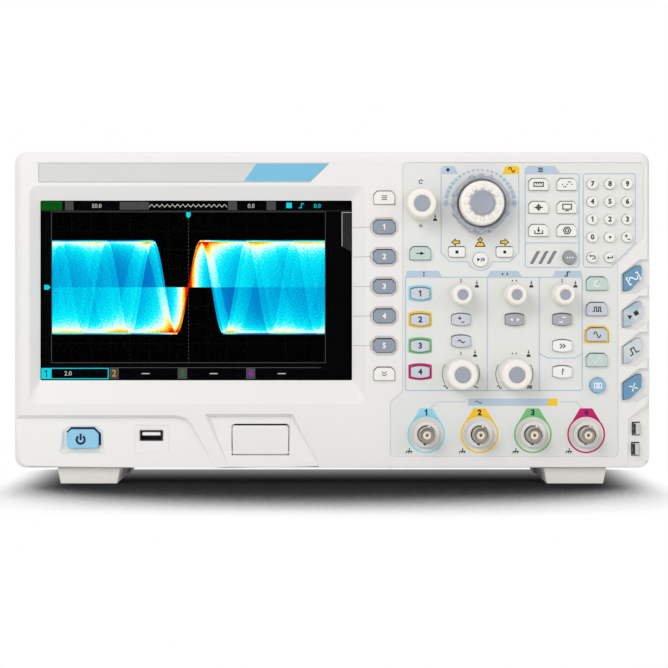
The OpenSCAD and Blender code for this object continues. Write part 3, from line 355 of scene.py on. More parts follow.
def usbFinish():  # steel casing darkened and black inside, both painted shade of the port's depth, with a white tongue
    look = usbLook
    finish = Finish("usb_port")
    low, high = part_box("usb_port")
    up = finish.along("Z") - (low.z + high.z) / 2
    tongue = ((abs(finish.along("X") - (low.x + high.x) / 2) < look["half"] * mm)
              & (up > look["low"] * mm) & (up < look["top"] * mm))
    inside = (finish.along("Y") > low.y + look["rim"] * mm) | tongue
    cloud = finish.noise(look["glossScale"])
    shadedShell = finish.between(inside, tone(*look["shadedShell"]), tone(*look["shadedMouth"]))
    return finish.surface({
        "Base Color": finish.between(tongue, shadedShell, tone(*look["tongue"])),
        "Metallic": 1 - inside,
        "Roughness": cloud * look["glossSpread"] + look["rough"],
    })


slots = {name: mouldedPlastic(name, look) for name, look in mouldings.items()}
slots.update({name: wornMetal(name, look) for name, look in metals.items()})
slots.update(strip_grey=brushedStrip(), window_clear=clearWindow(), display_black=displayBlack(),
             circuit_board=circuitBoard(), key_clear=frostedKey())
ownFinish = {name: bandedKeys(name, look) for name, look in keyBands.items()}
for name, colour in keyTones.items():
    ownFinish[name] = mouldedPlastic(name, dict(mouldings["key_grey"], colour=colour))
ownFinish["usb_port"] = usbFinish()
terminalLook = dict(metals["connector_metal"], colour=(204, 207, 198))
ownFinish["probe_terminals"] = wornMetal("probe_terminals", terminalLook)
print("finishes ready:", len(slots) + len(ownFinish))


# Softened edges of the CAD pieces

def smoothShading():  # every face smooth, so that the edge rounding below decides the shading
    tree = bpy.data.node_groups.new("smoothShading", "GeometryNodeTree")
    tree.interface.new_socket("Geometry", in_out="INPUT", socket_type="NodeSocketGeometry")
    tree.interface.new_socket("Geometry", in_out="OUTPUT", socket_type="NodeSocketGeometry")
    start = tree.nodes.new("NodeGroupInput")
    smooth = tree.nodes.new("GeometryNodeSetShadeSmooth")
    end = tree.nodes.new("NodeGroupOutput")
    tree.links.new(start.outputs[0], smooth.inputs[0])
    tree.links.new(smooth.outputs[0], end.inputs[0])
    return tree


smoothTree = smoothShading()
edgeRounding = {  # radius in mm, and the least angle in degrees that counts as an edge
    "front_bezel": (0.2, 12), "rear_cover": (0.4, 12), "control_panel": (0.1, 12), "feet": (0.5, 12),
    "logic_port_cover": (0.8, 14), "power_button": (0.09, 20), "name_strip": (0.08, 20),
    "number_keys": (0.5, 25), "jog_dial": (0.45, 25), "shuttle_ring": (0.3, 25),
    "input_jacks": (0.15, 25), "jack_contacts": (0.1, 25), "jack_insulators": (0.2, 25),
    "usb_port": (0.08, 20), "probe_terminals": (0.3, 20), "screen_window": (0.2, 20),
}
keyRounding = (0.5, 20)
innerRounding = (0.15, 25)
weldReach = 0.004  # corners closer than this become one, in mm


def roundEdges(piece, radius, angle):
    weld = piece.modifiers.new("weld", "WELD")
    weld.merge_threshold = weldReach * mm
    smooth = piece.modifiers.new("smooth", "NODES")
    smooth.node_group = smoothTree
    edges = piece.modifiers.new("edges", "BEVEL")
    edges.width = radius * mm
    edges.segments = 2
    edges.limit_method = "ANGLE"
    edges.angle_limit = math.radians(angle)
    edges.use_clamp_overlap = False
    edges.loop_slide = False
    normals = piece.modifiers.new("normals", "WEIGHTED_NORMAL")
    normals.keep_sharp = True


for name, piece in nodes.items():
    slotName = piece.data.materials[0].name.split(".")[0]
    piece.data.materials[0] = ownFinish.get(name, slots[slotName])
    outer = name.endswith(("key", "keys", "knob")) or "key_" in name or "leg_" in name
    roundEdges(piece, *edgeRounding.get(name, keyRounding if outer else innerRounding))
print("CAD pieces dressed")


# Flat shapes, as lists of (x, z) in mm

def arc(x, z, radius, start, end, steps=16):  # angles in degrees, from +X towards +Z
    turns = [math.radians(start + (end - start) * i / steps) for i in range(steps + 1)]
    return [(x + radius * math.cos(a), z + radius * math.sin(a)) for a in turns]


def disc(x, z, radius, steps=28):
    return arc(x, z, radius, 0, 360, steps)[:-1]


def block(left, low, right, top):
    return [(left, low), (right, low), (right, top), (left, top)]


def eased(points, radius, steps=4):  # an outline with its corners rounded
    made = []
    for i, point in enumerate(points):
        here = Vector(point)
        before = (Vector(points[i - 1]) - here).normalized()
        after = (Vector(points[(i + 1) % len(points)]) - here).normalized()
        reach = radius / math.tan(before.angle(after) / 2)
        start, end = here + before * reach, here + after * reach
        for k in range(steps + 1):  # a quadratic curve through the corner
            t = k / steps
            made.append(tuple(start * (1 - t) ** 2 + here * 2 * t * (1 - t) + end * t * t))
    return made


def turned(points):  # by half a turn
    return [(-x, -z) for x, z in points]


def bowed(width, height, bow, steps=8):  # upper and lower edges swell outwards
    spots = [2 * k / steps - 1 for k in range(steps + 1)]
    low = [(t * width / 2, -height / 2 + bow * t * t) for t in spots]
    return low + turned(low)


def cutTop(width, height, cut):  # the four points of an upper edge with both corners cut
    w, h = width / 2, height / 2
    return [(w, h - cut), (w - cut, h), (cut - w, h), (-w, h - cut)]


def cutCorners(width, height, cut):
    return [(-width / 2, -height / 2), (width / 2, -height / 2)] + cutTop(width, height, cut)


def octagon(width, height, cut):
    top = cutTop(width, height, cut)
    return top + turned(top)


def moved(points, x, z, size=1.0, lean=0.0):
    c, s = size * math.cos(lean), size * math.sin(lean)
    return [(x + c * u - s * v, z + s * u + c * v) for u, v in points]


def wave(cycles, height, steps=24):
    return [(2 * k / steps - 1, height * math.sin(2 * math.pi * cycles * k / steps))
            for k in range(steps + 1)]


# Small signs, drawn in a box of about 2 by 2: lines, closed loops, filled shapes and dots

arrow = [(-1, 0), (-0.2, 0.7), (-0.2, 0.3), (1, 0.3), (1, -0.3), (-0.2, -0.3), (-0.2, -0.7)]
signs = {
    "bars": [("line", [(-0.9, z), (0.9, z)]) for z in (0.6, 0, -0.6)],
    "down": [("line", [(-0.8, z + 0.5), (0, z), (0.8, z + 0.5)]) for z in (0.25, -0.55)],
    "ruler": [("loop", block(-1.2, -0.5, 1.2, 0.5))]
    + [("line", [(x, 0.5), (x, 0)]) for x in (-0.6, 0, 0.6)],
    "samples": [("dot", (x, 0.7 * math.sin(2.6 * x), 0.17))
                for x in (-1.2, -0.8, -0.4, 0, 0.4, 0.8, 1.2)],
    "cross": [("line", [(-1.1, 0), (1.1, 0)]), ("line", [(0, -0.9), (0, 0.9)]),
              ("loop", disc(0, 0, 0.5))],
    "screen": [("loop", block(-1.1, -0.45, 1.1, 0.8)), ("line", [(-0.5, -0.85), (0.5, -0.85)])],
    "tray": [("line", [(-1, 0), (-1, -0.8), (1, -0.8), (1, 0)]), ("line", [(0, 0.9), (0, -0.1)]),
             ("fill", [(-0.45, 0.15), (0, -0.45), (0.45, 0.15)])],
    "nut": [("loop", disc(0, 0, 0.95, 6)), ("loop", disc(0, 0, 0.42))],
    "sine": [("line", wave(1, 0.8))],
    "low sine": [("line", wave(1, 0.35))],
    "pulse": [("line", [(-1.3, -0.6), (-0.8, -0.6), (-0.8, 0.6), (-0.2, 0.6), (-0.2, -0.6),
                        (0.4, -0.6), (0.4, 0.6), (0.9, 0.6), (0.9, -0.6), (1.3, -0.6)])],
    "edge": [("line", [(-1, -0.7), (0, -0.7), (0, 0.7), (1, 0.7)]),
             ("fill", [(-0.4, -0.2), (0.4, -0.2), (0, 0.4)])],
    "sum": [("line", [(-0.9, 0.4), (0.1, 0.4)]), ("line", [(-0.4, 0.9), (-0.4, -0.1)]),
            ("line", [(0, -0.7), (0.9, -0.7)])],
    "spread": [("line", [(-0.7, 0), (0.7, 0)]), ("fill", [(-1.2, 0), (-0.6, -0.4), (-0.6, 0.4)]),
               ("fill", [(1.2, 0), (0.6, 0.4), (0.6, -0.4)])],
    "lift": [("fill", [(-0.4, 0.2), (0.4, 0.2), (0, 1)]),
             ("fill", [(0.4, -0.2), (-0.4, -0.2), (0, -1)])],
    "left right": [("fill", [(-1.3, 0), (-0.6, -0.5), (-0.6, 0.5)]),
                   ("fill", [(1.3, 0), (0.6, 0.5), (0.6, -0.5)])],
    "turn": [("line", arc(0, 0, 0.8, 40, 320)), ("fill", [(0.2, 0.75), (1.0, 0.95), (0.75, 0.15)])],
    "sun": [("dot", (0, 0, 0.4))] + [("line", [arc(0, 0, r, a, a)[0] for r in (0.65, 1.0)])
                                    for a in range(0, 360, 45)],
    "skip": [("line", [(x - 0.3, 0.6), (x + 0.3, 0), (x - 0.3, -0.6)]) for x in (-0.4, 0.4)],
    "single": [("line", [(-1.2, -0.6), (-0.4, -0.6), (-0.4, 0.7), (0.4, 0.7), (0.4, -0.6),
                         (1.2, -0.6)])],
    "wipe": [("line", [(-0.7, -0.7), (0.7, 0.7)]), ("line", [(-0.7, 0.7), (0.7, -0.7)])],
    "bracket": [("line", [(-0.9, 0.8), (-1.3, 0.8), (-1.3, -0.8), (-0.9, -0.8)]),
                ("line", [(0.9, 0.8), (1.3, 0.8), (1.3, -0.8), (0.9, -0.8)]), ("line", wave(1, 0.5))],
    "go stop": [("fill", [(-1.3, -0.6), (-0.3, 0), (-1.3, 0.6)]),
                ("fill", block(0.2, -0.5, 1.2, 0.5))],
    "shot": [("loop", block(-0.9, -0.6, 0.9, 0.6)), ("loop", disc(0, 0, 0.34))],
    "dots": [("dot", (x, 0, 0.24)) for x in (-0.8, 0, 0.8)],
    "slider": [("line", [(-1.1, 0), (1.1, 0)]), ("dot", (0.3, 0, 0.4))],
    "stop": [("fill", block(-0.6, -0.6, 0.6, 0.6))],
    "record": [("dot", (0, 0, 0.6))],
    "play": [("fill", [(-1.1, -0.6), (-0.1, 0), (-1.1, 0.6)]), ("line", [(0.1, -0.7), (0.45, 0.7)]),
             ("line", [(0.8, -0.5), (0.8, 0.5)]), ("line", [(1.15, -0.5), (1.15, 0.5)])],
    "back": [("line", [(-0.5, 0.5), (0.4, 0.5)] + arc(0.4, 0, 0.5, 90, -90, 8) + [(-0.1, -0.5)]),
             ("fill", [(-0.5, 0.95), (-1.1, 0.5), (-0.5, 0.05)])],
    "enter": [("line", [(0.8, 0.6), (0.8, -0.1), (-0.4, -0.1)]),
              ("fill", [(-0.4, 0.4), (-1.1, -0.1), (-0.4, -0.6)])],
    "ground": [("line", [(0, 1), (0, -0.1)]), ("line", [(-1, -0.1), (1, -0.1)])]
    + [("line", [(x, -0.1), (x - 0.4, -0.8)]) for x in (-0.8, 0, 0.8)],
    "push": [("fill", [(-0.7, -1), (0.7, -1), (0.4, -0.2), (-0.4, -0.2)]),
             ("line", [(0, 1.1), (0, 0.3)]), ("fill", [(-0.4, 0.45), (0.4, 0.45), (0, -0.05)])],
    "arrow left": [("fill", arrow)],
    "arrow right": [("fill", turned(arrow))],
    "lever": [("fill", [(-1.2, -1), (1.2, -1), (0.7, -0.1), (-0.7, -0.1)]),
              ("fill", [(0, 0.25), (0.5, 0.75), (0, 1.25), (-0.5, 0.75)])],
    "power": [("line", arc(0, 0, 0.8, 125, 415, 24)), ("line", [(0, -0.1), (0, 1.2)])],
    "one": [("line", [(-0.5, 0.5), (0.1, 1.0), (0.1, -1.0)])],
}


class Ink:  # printing of one colour on one body, and painted shade in a few gaps and slots: thin closed shapes on its face
    rise = 0.05  # how far it stands out of the face and reaches into it, in mm
    capShare = 0.7  # height of a digit as a share of the font's size
    oneStroke = 0.13  # stroke of the plain digit 1 as a share of its height

    def __init__(self, name, body, finish):
        self.name = name
        self.body = body
        self.finish = finish
        self.mesh = bmesh.new()

    def ring(self, points, depth):
        return [self.mesh.verts.new((x * mm, depth * mm, z * mm)) for x, z in points]

    def close(self, front, back):  # side walls between two rings of points
        for i in range(len(front)):
            self.mesh.faces.new((front[i - 1], front[i], back[i], back[i - 1]))

    def plate(self, front, back):
        self.mesh.faces.new(front)
        self.mesh.faces.new(back)
        self.close(front, back)

    def fill(self, points, depth):
        self.plate(self.ring(points, depth - self.rise), self.ring(points, depth + self.rise))

    def band(self, inner, outer, depth, closed=True):  # between two outlines of as many points
        if not closed:
            return self.fill(outer + inner[::-1], depth)
        rings = [self.ring(points, depth + lift) for lift in (-self.rise, self.rise)
                 for points in (inner, outer)]
        self.close(rings[0], rings[1])
        self.close(rings[2], rings[3])
        self.close(rings[0], rings[2])
        self.close(rings[1], rings[3])

    def slope(self, start, end, z, width):  # a line on a slanting face, its ends as x and depth
        corners = [(start, -width / 2), (end, -width / 2), (end, width / 2), (start, width / 2)]
        self.plate(*([self.mesh.verts.new((x * mm, (depth + lift) * mm, (z + up) * mm))
                      for (x, depth), up in corners] for lift in (-self.rise, self.rise)))

    def line(self, points, width, depth, closed=False):
        spots = [Vector(point) for point in points]
        inner, outer = [], []
        for i, spot in enumerate(spots):
            before = spots[i - 1] if closed or i else None
            after = spots[(i + 1) % len(spots)] if closed or i + 1 < len(spots) else None
            ways = (before and spot - before, after and after - spot)
            ways = [way.normalized() for way in ways if way]
            way = sum(ways, Vector((0, 0))).normalized()
            side = Vector((-way.y, way.x)) * width / 2 / max(way.dot(ways[0]), 0.5)
            inner.append(tuple(spot - side))
            outer.append(tuple(spot + side))
        self.band(inner, outer, depth, closed)

    def sign(self, name, x, z, size, depth, width=0.5, lean=0.0):
        for kind, shape in signs[name]:
            if kind == "dot":
                u, v, radius = shape
                self.fill(moved(disc(u, v, radius, 16), x, z, size, lean), depth)
            elif kind == "fill":
                self.fill(moved(shape, x, z, size, lean), depth)
            else:
                self.line(moved(shape, x, z, size, lean), width, depth, kind == "loop")

    def number(self, text, x, z, height, depth, weight=0.03):
        if text == "1":
            return self.sign("one", x, z, height / 2, depth, height * (self.oneStroke + 2 * weight))
        letters = bpy.data.curves.new("number", "FONT")
        letters.body = text
        letters.size = height / self.capShare
        letters.align_x = "CENTER"
        letters.align_y = "CENTER"
        letters.offset = weight * height
        letters.extrude = self.rise
        letters.resolution_u = 3
        holder = bpy.data.objects.new("number", letters)
        solid = bpy.data.meshes.new_from_object(holder)
        for vertex in solid.vertices:
            u, v, w = vertex.co
            vertex.co = ((x + u) * mm, (depth - w) * mm, (z + v) * mm)
        self.mesh.from_mesh(solid)
        bpy.data.objects.remove(holder)
        bpy.data.curves.remove(letters)
        bpy.data.meshes.remove(solid)

    def done(self):
        bmesh.ops.remove_doubles(self.mesh, verts=self.mesh.verts, dist=self.rise * mm / 100)
        bmesh.ops.recalc_face_normals(self.mesh, faces=self.mesh.faces)
        return addPiece(self.name, self.mesh, self.finish, self.body)


def addPiece(name, built, finish, body):
    mesh = bpy.data.meshes.new(name)
    built.to_mesh(mesh)
    built.free()
    mesh.materials.append(finish)
    piece = bpy.data.objects.new(name, mesh)
    bpy.context.scene.collection.objects.link(piece)
    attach(piece, body)
    return piece


inkLook = {"pitScale": 1800.0, "pitShade": 0.94, "rough": 0.42, "glossSpread": 0.12, "shine": 0.2}
joinReach = 0.005  # doubled corners of a CAD mesh lie closer than this, in mm


def inkFinish(name, colour):  # screen printing: a thin even coat with a fine pitted skin
    look = inkLook
    finish = Finish(name)
    pits = finish.noise(look["pitScale"])
    return finish.surface({
        "Base Color": finish.between(pits, shaded(colour, look["pitShade"]), colour),
        "Roughness": pits * look["glossSpread"] + look["rough"],
        "Specular IOR Level": look["shine"],
    })


def joinedShape(name):  # a CAD node's mesh with its doubled corners joined
    shape = bmesh.new()
    shape.from_mesh(nodes[name].data)
    bmesh.ops.remove_doubles(shape, verts=shape.verts, dist=joinReach * mm)
    return shape


def islands(name):  # centres of a CAD node's separate solids, in mm, from the top left
    shape = joinedShape(name)
    left, centres = set(shape.verts), []
    while left:
        todo, found = [left.pop()], []
        while todo:
            vertex = todo.pop()
            found.append(vertex.co)
            for other in (edge.other_vert(vertex) for edge in vertex.link_edges):
                if other in left:
                    left.remove(other)
                    todo.append(other)
        ends = [(min(c[i] for c in found), max(c[i] for c in found)) for i in (0, 2)]
        centres.append(tuple((low + high) / 2 / mm for low, high in ends))
    shape.free()
    return sorted(centres, key=lambda spot: (-round(spot[1]), spot[0]))


# Printing on the front, and painted shade in some gaps and slots: positions and sizes in mm in the
# shared frame

inkColours = {
    "line": (184, 202, 221), "tab": (191, 207, 224), "yellow": (255, 207, 44), "dark": (46, 48, 54),
    "grey": (132, 134, 134), "cyan": (154, 219, 242), "green": (124, 198, 128),
    "magenta": (206, 26, 108), "white": (250, 250, 248), "navy": (26, 42, 80), "sky": (126, 195, 225),
    "sand": (206, 200, 192),
}
inkFinishes = {name: inkFinish(name + "_ink", tone(*colour)) for name, colour in inkColours.items()}
inks = {}


def ink(colour, body="case"):  # the one piece that holds this colour on this body
    if (body, colour) not in inks:
        owner = "front" if body == "case" else body
        inks[body, colour] = Ink(owner + "_" + colour + "_print", body, inkFinishes[colour])
    return inks[body, colour]


frontDepth = frontY / mm
panelFace = frontDepth + 0.5  # the panel plate lies this much below the bezel's front
layer = 0.03  # from one print to the next one over it
tabFace, signFace = panelFace - layer, panelFace - 2 * layer
lineWidth = 0.6
tabStroke = 0.6  # lines of the signs on the tabs
tabOver = 0.3  # how far a tab laps over the lines below and beside it
channelColours = ("cyan", "yellow", "green", "magenta")


def rule(points, closed=False):  # a line of the usual kind on the panel plate
    ink("line").line(points, lineWidth, panelFace, closed)


def faceOf(name):  # the foremost plane of a piece, in mm
    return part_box(name)[0].y / mm


def middleOf(name):
    low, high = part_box(name)
    return (low.x + high.x) / 2 / mm, (low.z + high.z) / 2 / mm


recordBox = {  # box: left, low, right, top; a sign: its place along the tab, its size
    "box": (63.9, 130.2, 109.4, 181.8), "cut": 5.3, "bump": 7.6, "bumpUp": 1.2,
    "tabTop": 186.2, "tab": (71.5, 73.9), "tabCorner": (1.2, 1.4), "tabSign": (4.0, 1.7),
    "waveTab": (101.6, 99.6), "waveCorner": (1.0, 1.4), "waveSign": (0.7, 1.8),
    "arrows": [("arrow left", 72.5, 141.6), ("arrow right", 101.0, 141.6)], "leverUp": 141.4,
    "markSize": 2.0, "rimSize": 2.1, "rimWidth": 0.9,
}
dialArc = {
    "radius": 20.2, "steps": 10, "first": 86.0, "pitch": 8.1, "thin": 1.0, "thick": 2.3,
    "longer": 0.25,
    "head": [(-1.2, 1.9), (1.2, 1.9), (1.2, 0.6), (2.0, 0.3), (0, -2.2), (-2.0, 0.3), (-1.2, 0.6)],
    "headIn": 0.2, "headUp": 0.4,
}


def printTab(look, sign):  # at the left end of a box's upper line, its outer corner cut
    left, _, _, top = look["box"]
    up, foot = look["tabTop"], top - tabOver
    (tabTop, tabLow), (across, down) = look["tab"], look["tabCorner"]
    ink("tab").fill([(left - tabOver, foot), (tabLow, foot), (tabTop, up), (left + across, up),
                     (left - tabOver, up - down)], tabFace)
    along, size = look["tabSign"]
    ink("dark").sign(sign, left + along, (top + up) / 2, size, signFace, tabStroke)


def printRecordBox():
    look = recordBox
    x, z = middleOf("play_key")
    (left, low, right, top), cut = look["box"], look["cut"]
    z += look["bumpUp"]
    dip = math.degrees(math.asin((z - low) / look["bump"]))
    outline = [(left, top), (left, low + cut), (left + cut, low)]
    outline += arc(x, z, look["bump"], 180 + dip, 360 - dip)
    outline += [(right - cut, low), (right, low + cut), (right, top)]
    rule(outline)
    printTab(look, "record")
    up, end = look["tabTop"], right + tabOver
    (tabTop, tabLow), (across, down) = look["waveTab"], look["waveCorner"]
    ink("yellow").fill([(tabLow, top - tabOver), (end, top - tabOver), (end, up - down),
                        (right - across, up), (tabTop, up)], tabFace)
    along, size = look["waveSign"]
    ink("dark").sign("sine", (tabLow + right) / 2 + along, (top + up) / 2, size, signFace, tabStroke)
    for name, u, v in look["arrows"] + [("lever", x, look["leverUp"])]:
        for _, shape in signs[name]:
            ink("navy").line(moved(shape, u, v, look["rimSize"]), look["rimWidth"], panelFace, True)
        ink("yellow").sign(name, u, v, look["markSize"], signFace)


def printDialArc():
    look = dialArc
    x, z = middleOf("jog_dial")
    for k in range(look["steps"]):
        share = k / (look["steps"] - 1)
        wide = look["thin"] + (look["thick"] - look["thin"]) * share
        half = math.degrees(0.5 * (wide + look["longer"]) / look["radius"])
        for turn in (look["first"] - k * look["pitch"], 180 - look["first"] + k * look["pitch"]):
            inner = arc(x, z, look["radius"] - wide / 2, turn - half, turn + half, 3)
            outer = arc(x, z, look["radius"] + wide / 2, turn - half, turn + half, 3)
            ink("line").band(inner, outer, panelFace, False)
    for side in (-1, 1):
        across = side * (look["radius"] - look["headIn"])
        ink("line").fill(moved(look["head"], x + across, z + look["headUp"]), panelFace)


menuBox = {
    "box": (113.1, 126.9, 144.7, 181.7), "corner": 1.9, "split": 141.2,
    "tabTop": 186.3, "tab": (130.5, 133.8), "tabCorner": (1.6, 1.8), "tabSign": (9.0, 1.6),
    "bars": (115.7, 120.6, 125.5), "barLow": 128.9, "barTop": 136.5, "barWidth": 2.1, "barLean": 4.2,
}
padBox = {"box": (147.1, 126.9, 177.6, 181.7), "cut": 14.2, "corner": 1.9}


def printMenuBoxes():
    look = menuBox
    left, _, right, _ = look["box"]
    rule(eased(block(*look["box"]), look["corner"]), True)
    rule([(left, look["split"]), (right, look["split"])])
    printTab(look, "bars")
    wide, lean, low, top = (look[key] for key in ("barWidth", "barLean", "barLow", "barTop"))
    for x in look["bars"]:
        ink("grey").fill([(x, low), (x + wide, low), (x + wide + lean, top), (x + lean, top)], panelFace)
    look = padBox
    (left, low, right, top), cut = look["box"], look["cut"]
    outline = [(left, low), (right - cut, low), (right, low + cut), (right, top), (left, top)]
    rule(eased(outline, look["corner"]), True)


sectionBox = {
    "box": (43.1, 54.8, 146.5, 121.1), "corner": 1.6, "splits": (91.0, 121.4),
    "tabTop": 124.9, "ledge": [(121.4, 76.4), (126.5, 73.8), (142.4, 73.8), (146.5, 76.4)],
    "tabs": [(42.8, 64.8, 43.8, 62.3), (90.7, 111.8, 92.9, 108.9), (128.6, 146.8, 130.8, 145.6)],
    "tabSigns": ("lift", "left right", "edge"), "signSize": 1.7,
}
knobMarks = {  # what stands above each knob, beside it, under it, and at the ends of its two arcs
    "vertical_position_knob": {"sign": "lift", "up": 8.2, "push": (9.3, 6.1)},
    "horizontal_position_knob": {"sign": "left right", "up": 8.2, "push": (9.9, 6.1)},
    "trigger_level_knob": {"sign": "lift", "up": 8.2, "push": (7.8, 6.1)},
    "vertical_scale_knob": {"sign": "lift", "up": 12.0, "push": (8.2, 11.9), "arcs": 10.9,
                            "ends": ("sine", "low sine")},
    "horizontal_scale_knob": {"sign": "left right", "up": 12.0, "push": (8.3, 11.9), "arcs": 10.9,
                              "ends": ("sine", "pulse")},
    "multipurpose_knob": {"sign": "turn", "up": 13.4, "push": (8.4, -7.6), "under": ("sun", -12.4)},
}
knobSigns = {"size": 1.3, "push": 1.9, "under": 1.4, "underStroke": 0.3, "spread": 31,
             "arcWidth": 0.5, "end": (8.8, -7.6), "endSize": 1.2}


def printSections():
    look = sectionBox
    _, low, _, top = look["box"]
    rule(eased(block(*look["box"]), look["corner"]), True)
    for x in look["splits"]:
        rule([(x, low), (x, top)])
    rule(look["ledge"])
    up, foot = look["tabTop"], top - tabOver
    for (lowLeft, lowRight, upLeft, upRight), sign in zip(look["tabs"], look["tabSigns"]):
        ink("tab").fill([(lowLeft, foot), (lowRight, foot), (upRight, up), (upLeft, up)], tabFace)
        middle = (lowLeft + lowRight) / 2
        ink("dark").sign(sign, middle, (top + up) / 2, look["signSize"], signFace, tabStroke)


def printKnobMarks():
    look = knobSigns
    for knob, marks in knobMarks.items():
        x, z = middleOf(knob)
        ink("dark").sign(marks["sign"], x, z + marks["up"], look["size"], panelFace)
        u, v = marks["push"]
        ink("dark").sign("push", x + u, z + v, look["push"], panelFace)
        if "under" in marks:
            sign, up = marks["under"]
            ink("dark").sign(sign, x, z + up, look["under"], panelFace, look["underStroke"])
        for side, sign in zip((-1, 1), marks.get("ends", ())):
            turn = 90 - side * 90
            bow = arc(x, z, marks["arcs"], turn - look["spread"], turn + look["spread"])
            ink("grey").line(bow, look["arcWidth"], panelFace)
            u, v = look["end"]
            ink("dark").sign(sign, x + side * u, z + v, look["endSize"], panelFace)


channelRing = {"size": (12.5, 8.7, 0.9), "up": 0.2, "width": 1.2}
waveRing = {"size": (13.9, 9.4, 2.5), "up": 0.2, "width": 0.9}
softkeyRingShade = {"size": (16.3, 11.4, 3.4), "width": 0.35}
softkeyLead = {  # its stretches over the bevel, the edge and the groove; ends as x and how far back
    "stretches": [((12.5, 4.55), (19.5, 0.06)), ((19.5, 0.04), (20.3, 0.0)),
                  ((20.3, 0.4), (22.4, 0.4))],
    "width": 0.5,
}


def printKeyRings():
    look = channelRing
    for n, colour in enumerate(channelColours, 1):
        x, z = middleOf("channel_key_%d" % n)
        ring = moved(bowed(*look["size"]), x, z + look["up"])
        ink(colour).line(ring, look["width"], panelFace, True)
    # painted shade: a thin sand line round each softkey at the edge of its recessed surround, in place
    # of that edge's shadow
    look = softkeyRingShade
    for n in range(1, 6):
        x, z = middleOf("softkey_%d" % n)
        ink("sand").line(moved(octagon(*look["size"]), x, z), look["width"], frontDepth, True)
        for stretch in softkeyLead["stretches"]:
            start, end = ((along, frontDepth + back) for along, back in stretch)
            ink("sand").slope(start, end, z, softkeyLead["width"])
    look = waveRing
    x, z = islands("analysis_keys")[2]
    ring = moved(cutCorners(*look["size"]), x, z + look["up"])
    ink("yellow").line(ring, look["width"], panelFace, True)


jackMarks = {
    "inner": 10.15, "outer": 11.1, "sides": 64, "lap": 0.1, "spread": 38, "tabTop": 15.2,
    "tabHalf": 3.7, "flare": 3.0, "ease": 0.8, "digitUp": 12.6, "digit": 3.2, "digitWeight": 0.07,
    "ground": (-9.9, -9.8), "groundSize": 1.7, "groundStroke": 0.55,
}
inputStrip = {
    "box": (79.8, 45.9, 132.0, 50.1), "turn": 125.4, "lean": 1.9, "sign": (6.0, 2.0), "stroke": 0.4,
    "leads": ([(78.6, 48.2), (62.1, 48.2), (57.6, 44.6)],
              [(133.4, 48.2), (143.2, 48.2), (146.6, 44.6)]),
}


def printInputs():
    look = jackMarks
    half, flare, start = look["tabHalf"], look["flare"], look["spread"]
    for (x, z), colour, digit in zip(islands("input_jacks"), channelColours, "1234"):
        inner, outer = (disc(x, z, look[edge], look["sides"]) for edge in ("inner", "outer"))
        ink(colour).band(inner, outer, panelFace)
        saddle = arc(x, z, look["outer"] - look["lap"], start, 180 - start, 24)
        foot, top = z + look["outer"] - flare, z + look["tabTop"]
        cap = eased([(x - half - flare, foot), (x - half, top), (x + half, top),
                     (x + half + flare, foot)], look["ease"])
        ink(colour).fill(saddle + cap[5:15], panelFace)  # its two upper corners, five points each
        up, height, weight = (look[key] for key in ("digitUp", "digit", "digitWeight"))
        ink("navy").number(digit, x, z + up, height, signFace, weight)
        u, v = look["ground"]
        ink("dark").sign("ground", x + u, z + v, look["groundSize"], panelFace, look["groundStroke"])
    look = inputStrip
    (left, low, right, top), turn = look["box"], look["turn"]
    split = turn + look["lean"]
    ink("tab").fill([(left, low), (turn, low), (split, top), (left, top)], panelFace)
    ink("yellow").fill([(turn, low), (right, low), (right, top), (split, top)], panelFace)
    along, size = look["sign"]
    ink("dark").sign("low sine", left + along, (low + top) / 2, size, signFace, look["stroke"])
    for lead in look["leads"]:
        ink("line").line(lead, look["stroke"], panelFace)


powerGapShade = {"half": (9.35, 5.45), "down": 2.4, "off": 0.75, "cut": 2.7, "width": 1.1, "end": 1.5}


def printPowerGap():  # painted shade: a dark navy band in the gap above the power button and to its right, in place of the gap's shadow
    look = powerGapShade
    x, z = middleOf("power_button")
    w, h = look["half"]
    off, cut = look["off"], look["cut"]
    top, right = z + h + off, x + w + off
    outline = [(x - w, top - cut), (x - w + cut, top), (x + w - cut, top), (right, z + h - cut),
               (right, z - h + look["end"])]
    ink("navy").line(outline, look["width"], faceOf("power_button") + look["down"])


terminalSlitShade = {"from": -1.9, "to": -0.5, "half": 3.1}


# painted shade: a dark block at the left of each probe terminal's face, in place of the shadowed slot
# wall
def printTerminals():
    look = terminalSlitShade
    for x, z in islands("probe_terminals"):
        ink("dark").fill(block(x + look["from"], z - look["half"], x + look["to"], z + look["half"]),
                         faceOf("probe_terminals"))


nameTag = {"top": (-44.3, -2.0), "low": (-51.5, -12.9), "from": 177.2, "to": 187.5}


def printNameTag():
    look = nameTag
    (lowLeft, lowRight), (upLeft, upRight) = look["low"], look["top"]
    ink("sky").fill([(lowLeft, look["from"]), (lowRight, look["from"]), (upRight, look["to"]),
                     (upLeft, look["to"])], faceOf("name_strip"))


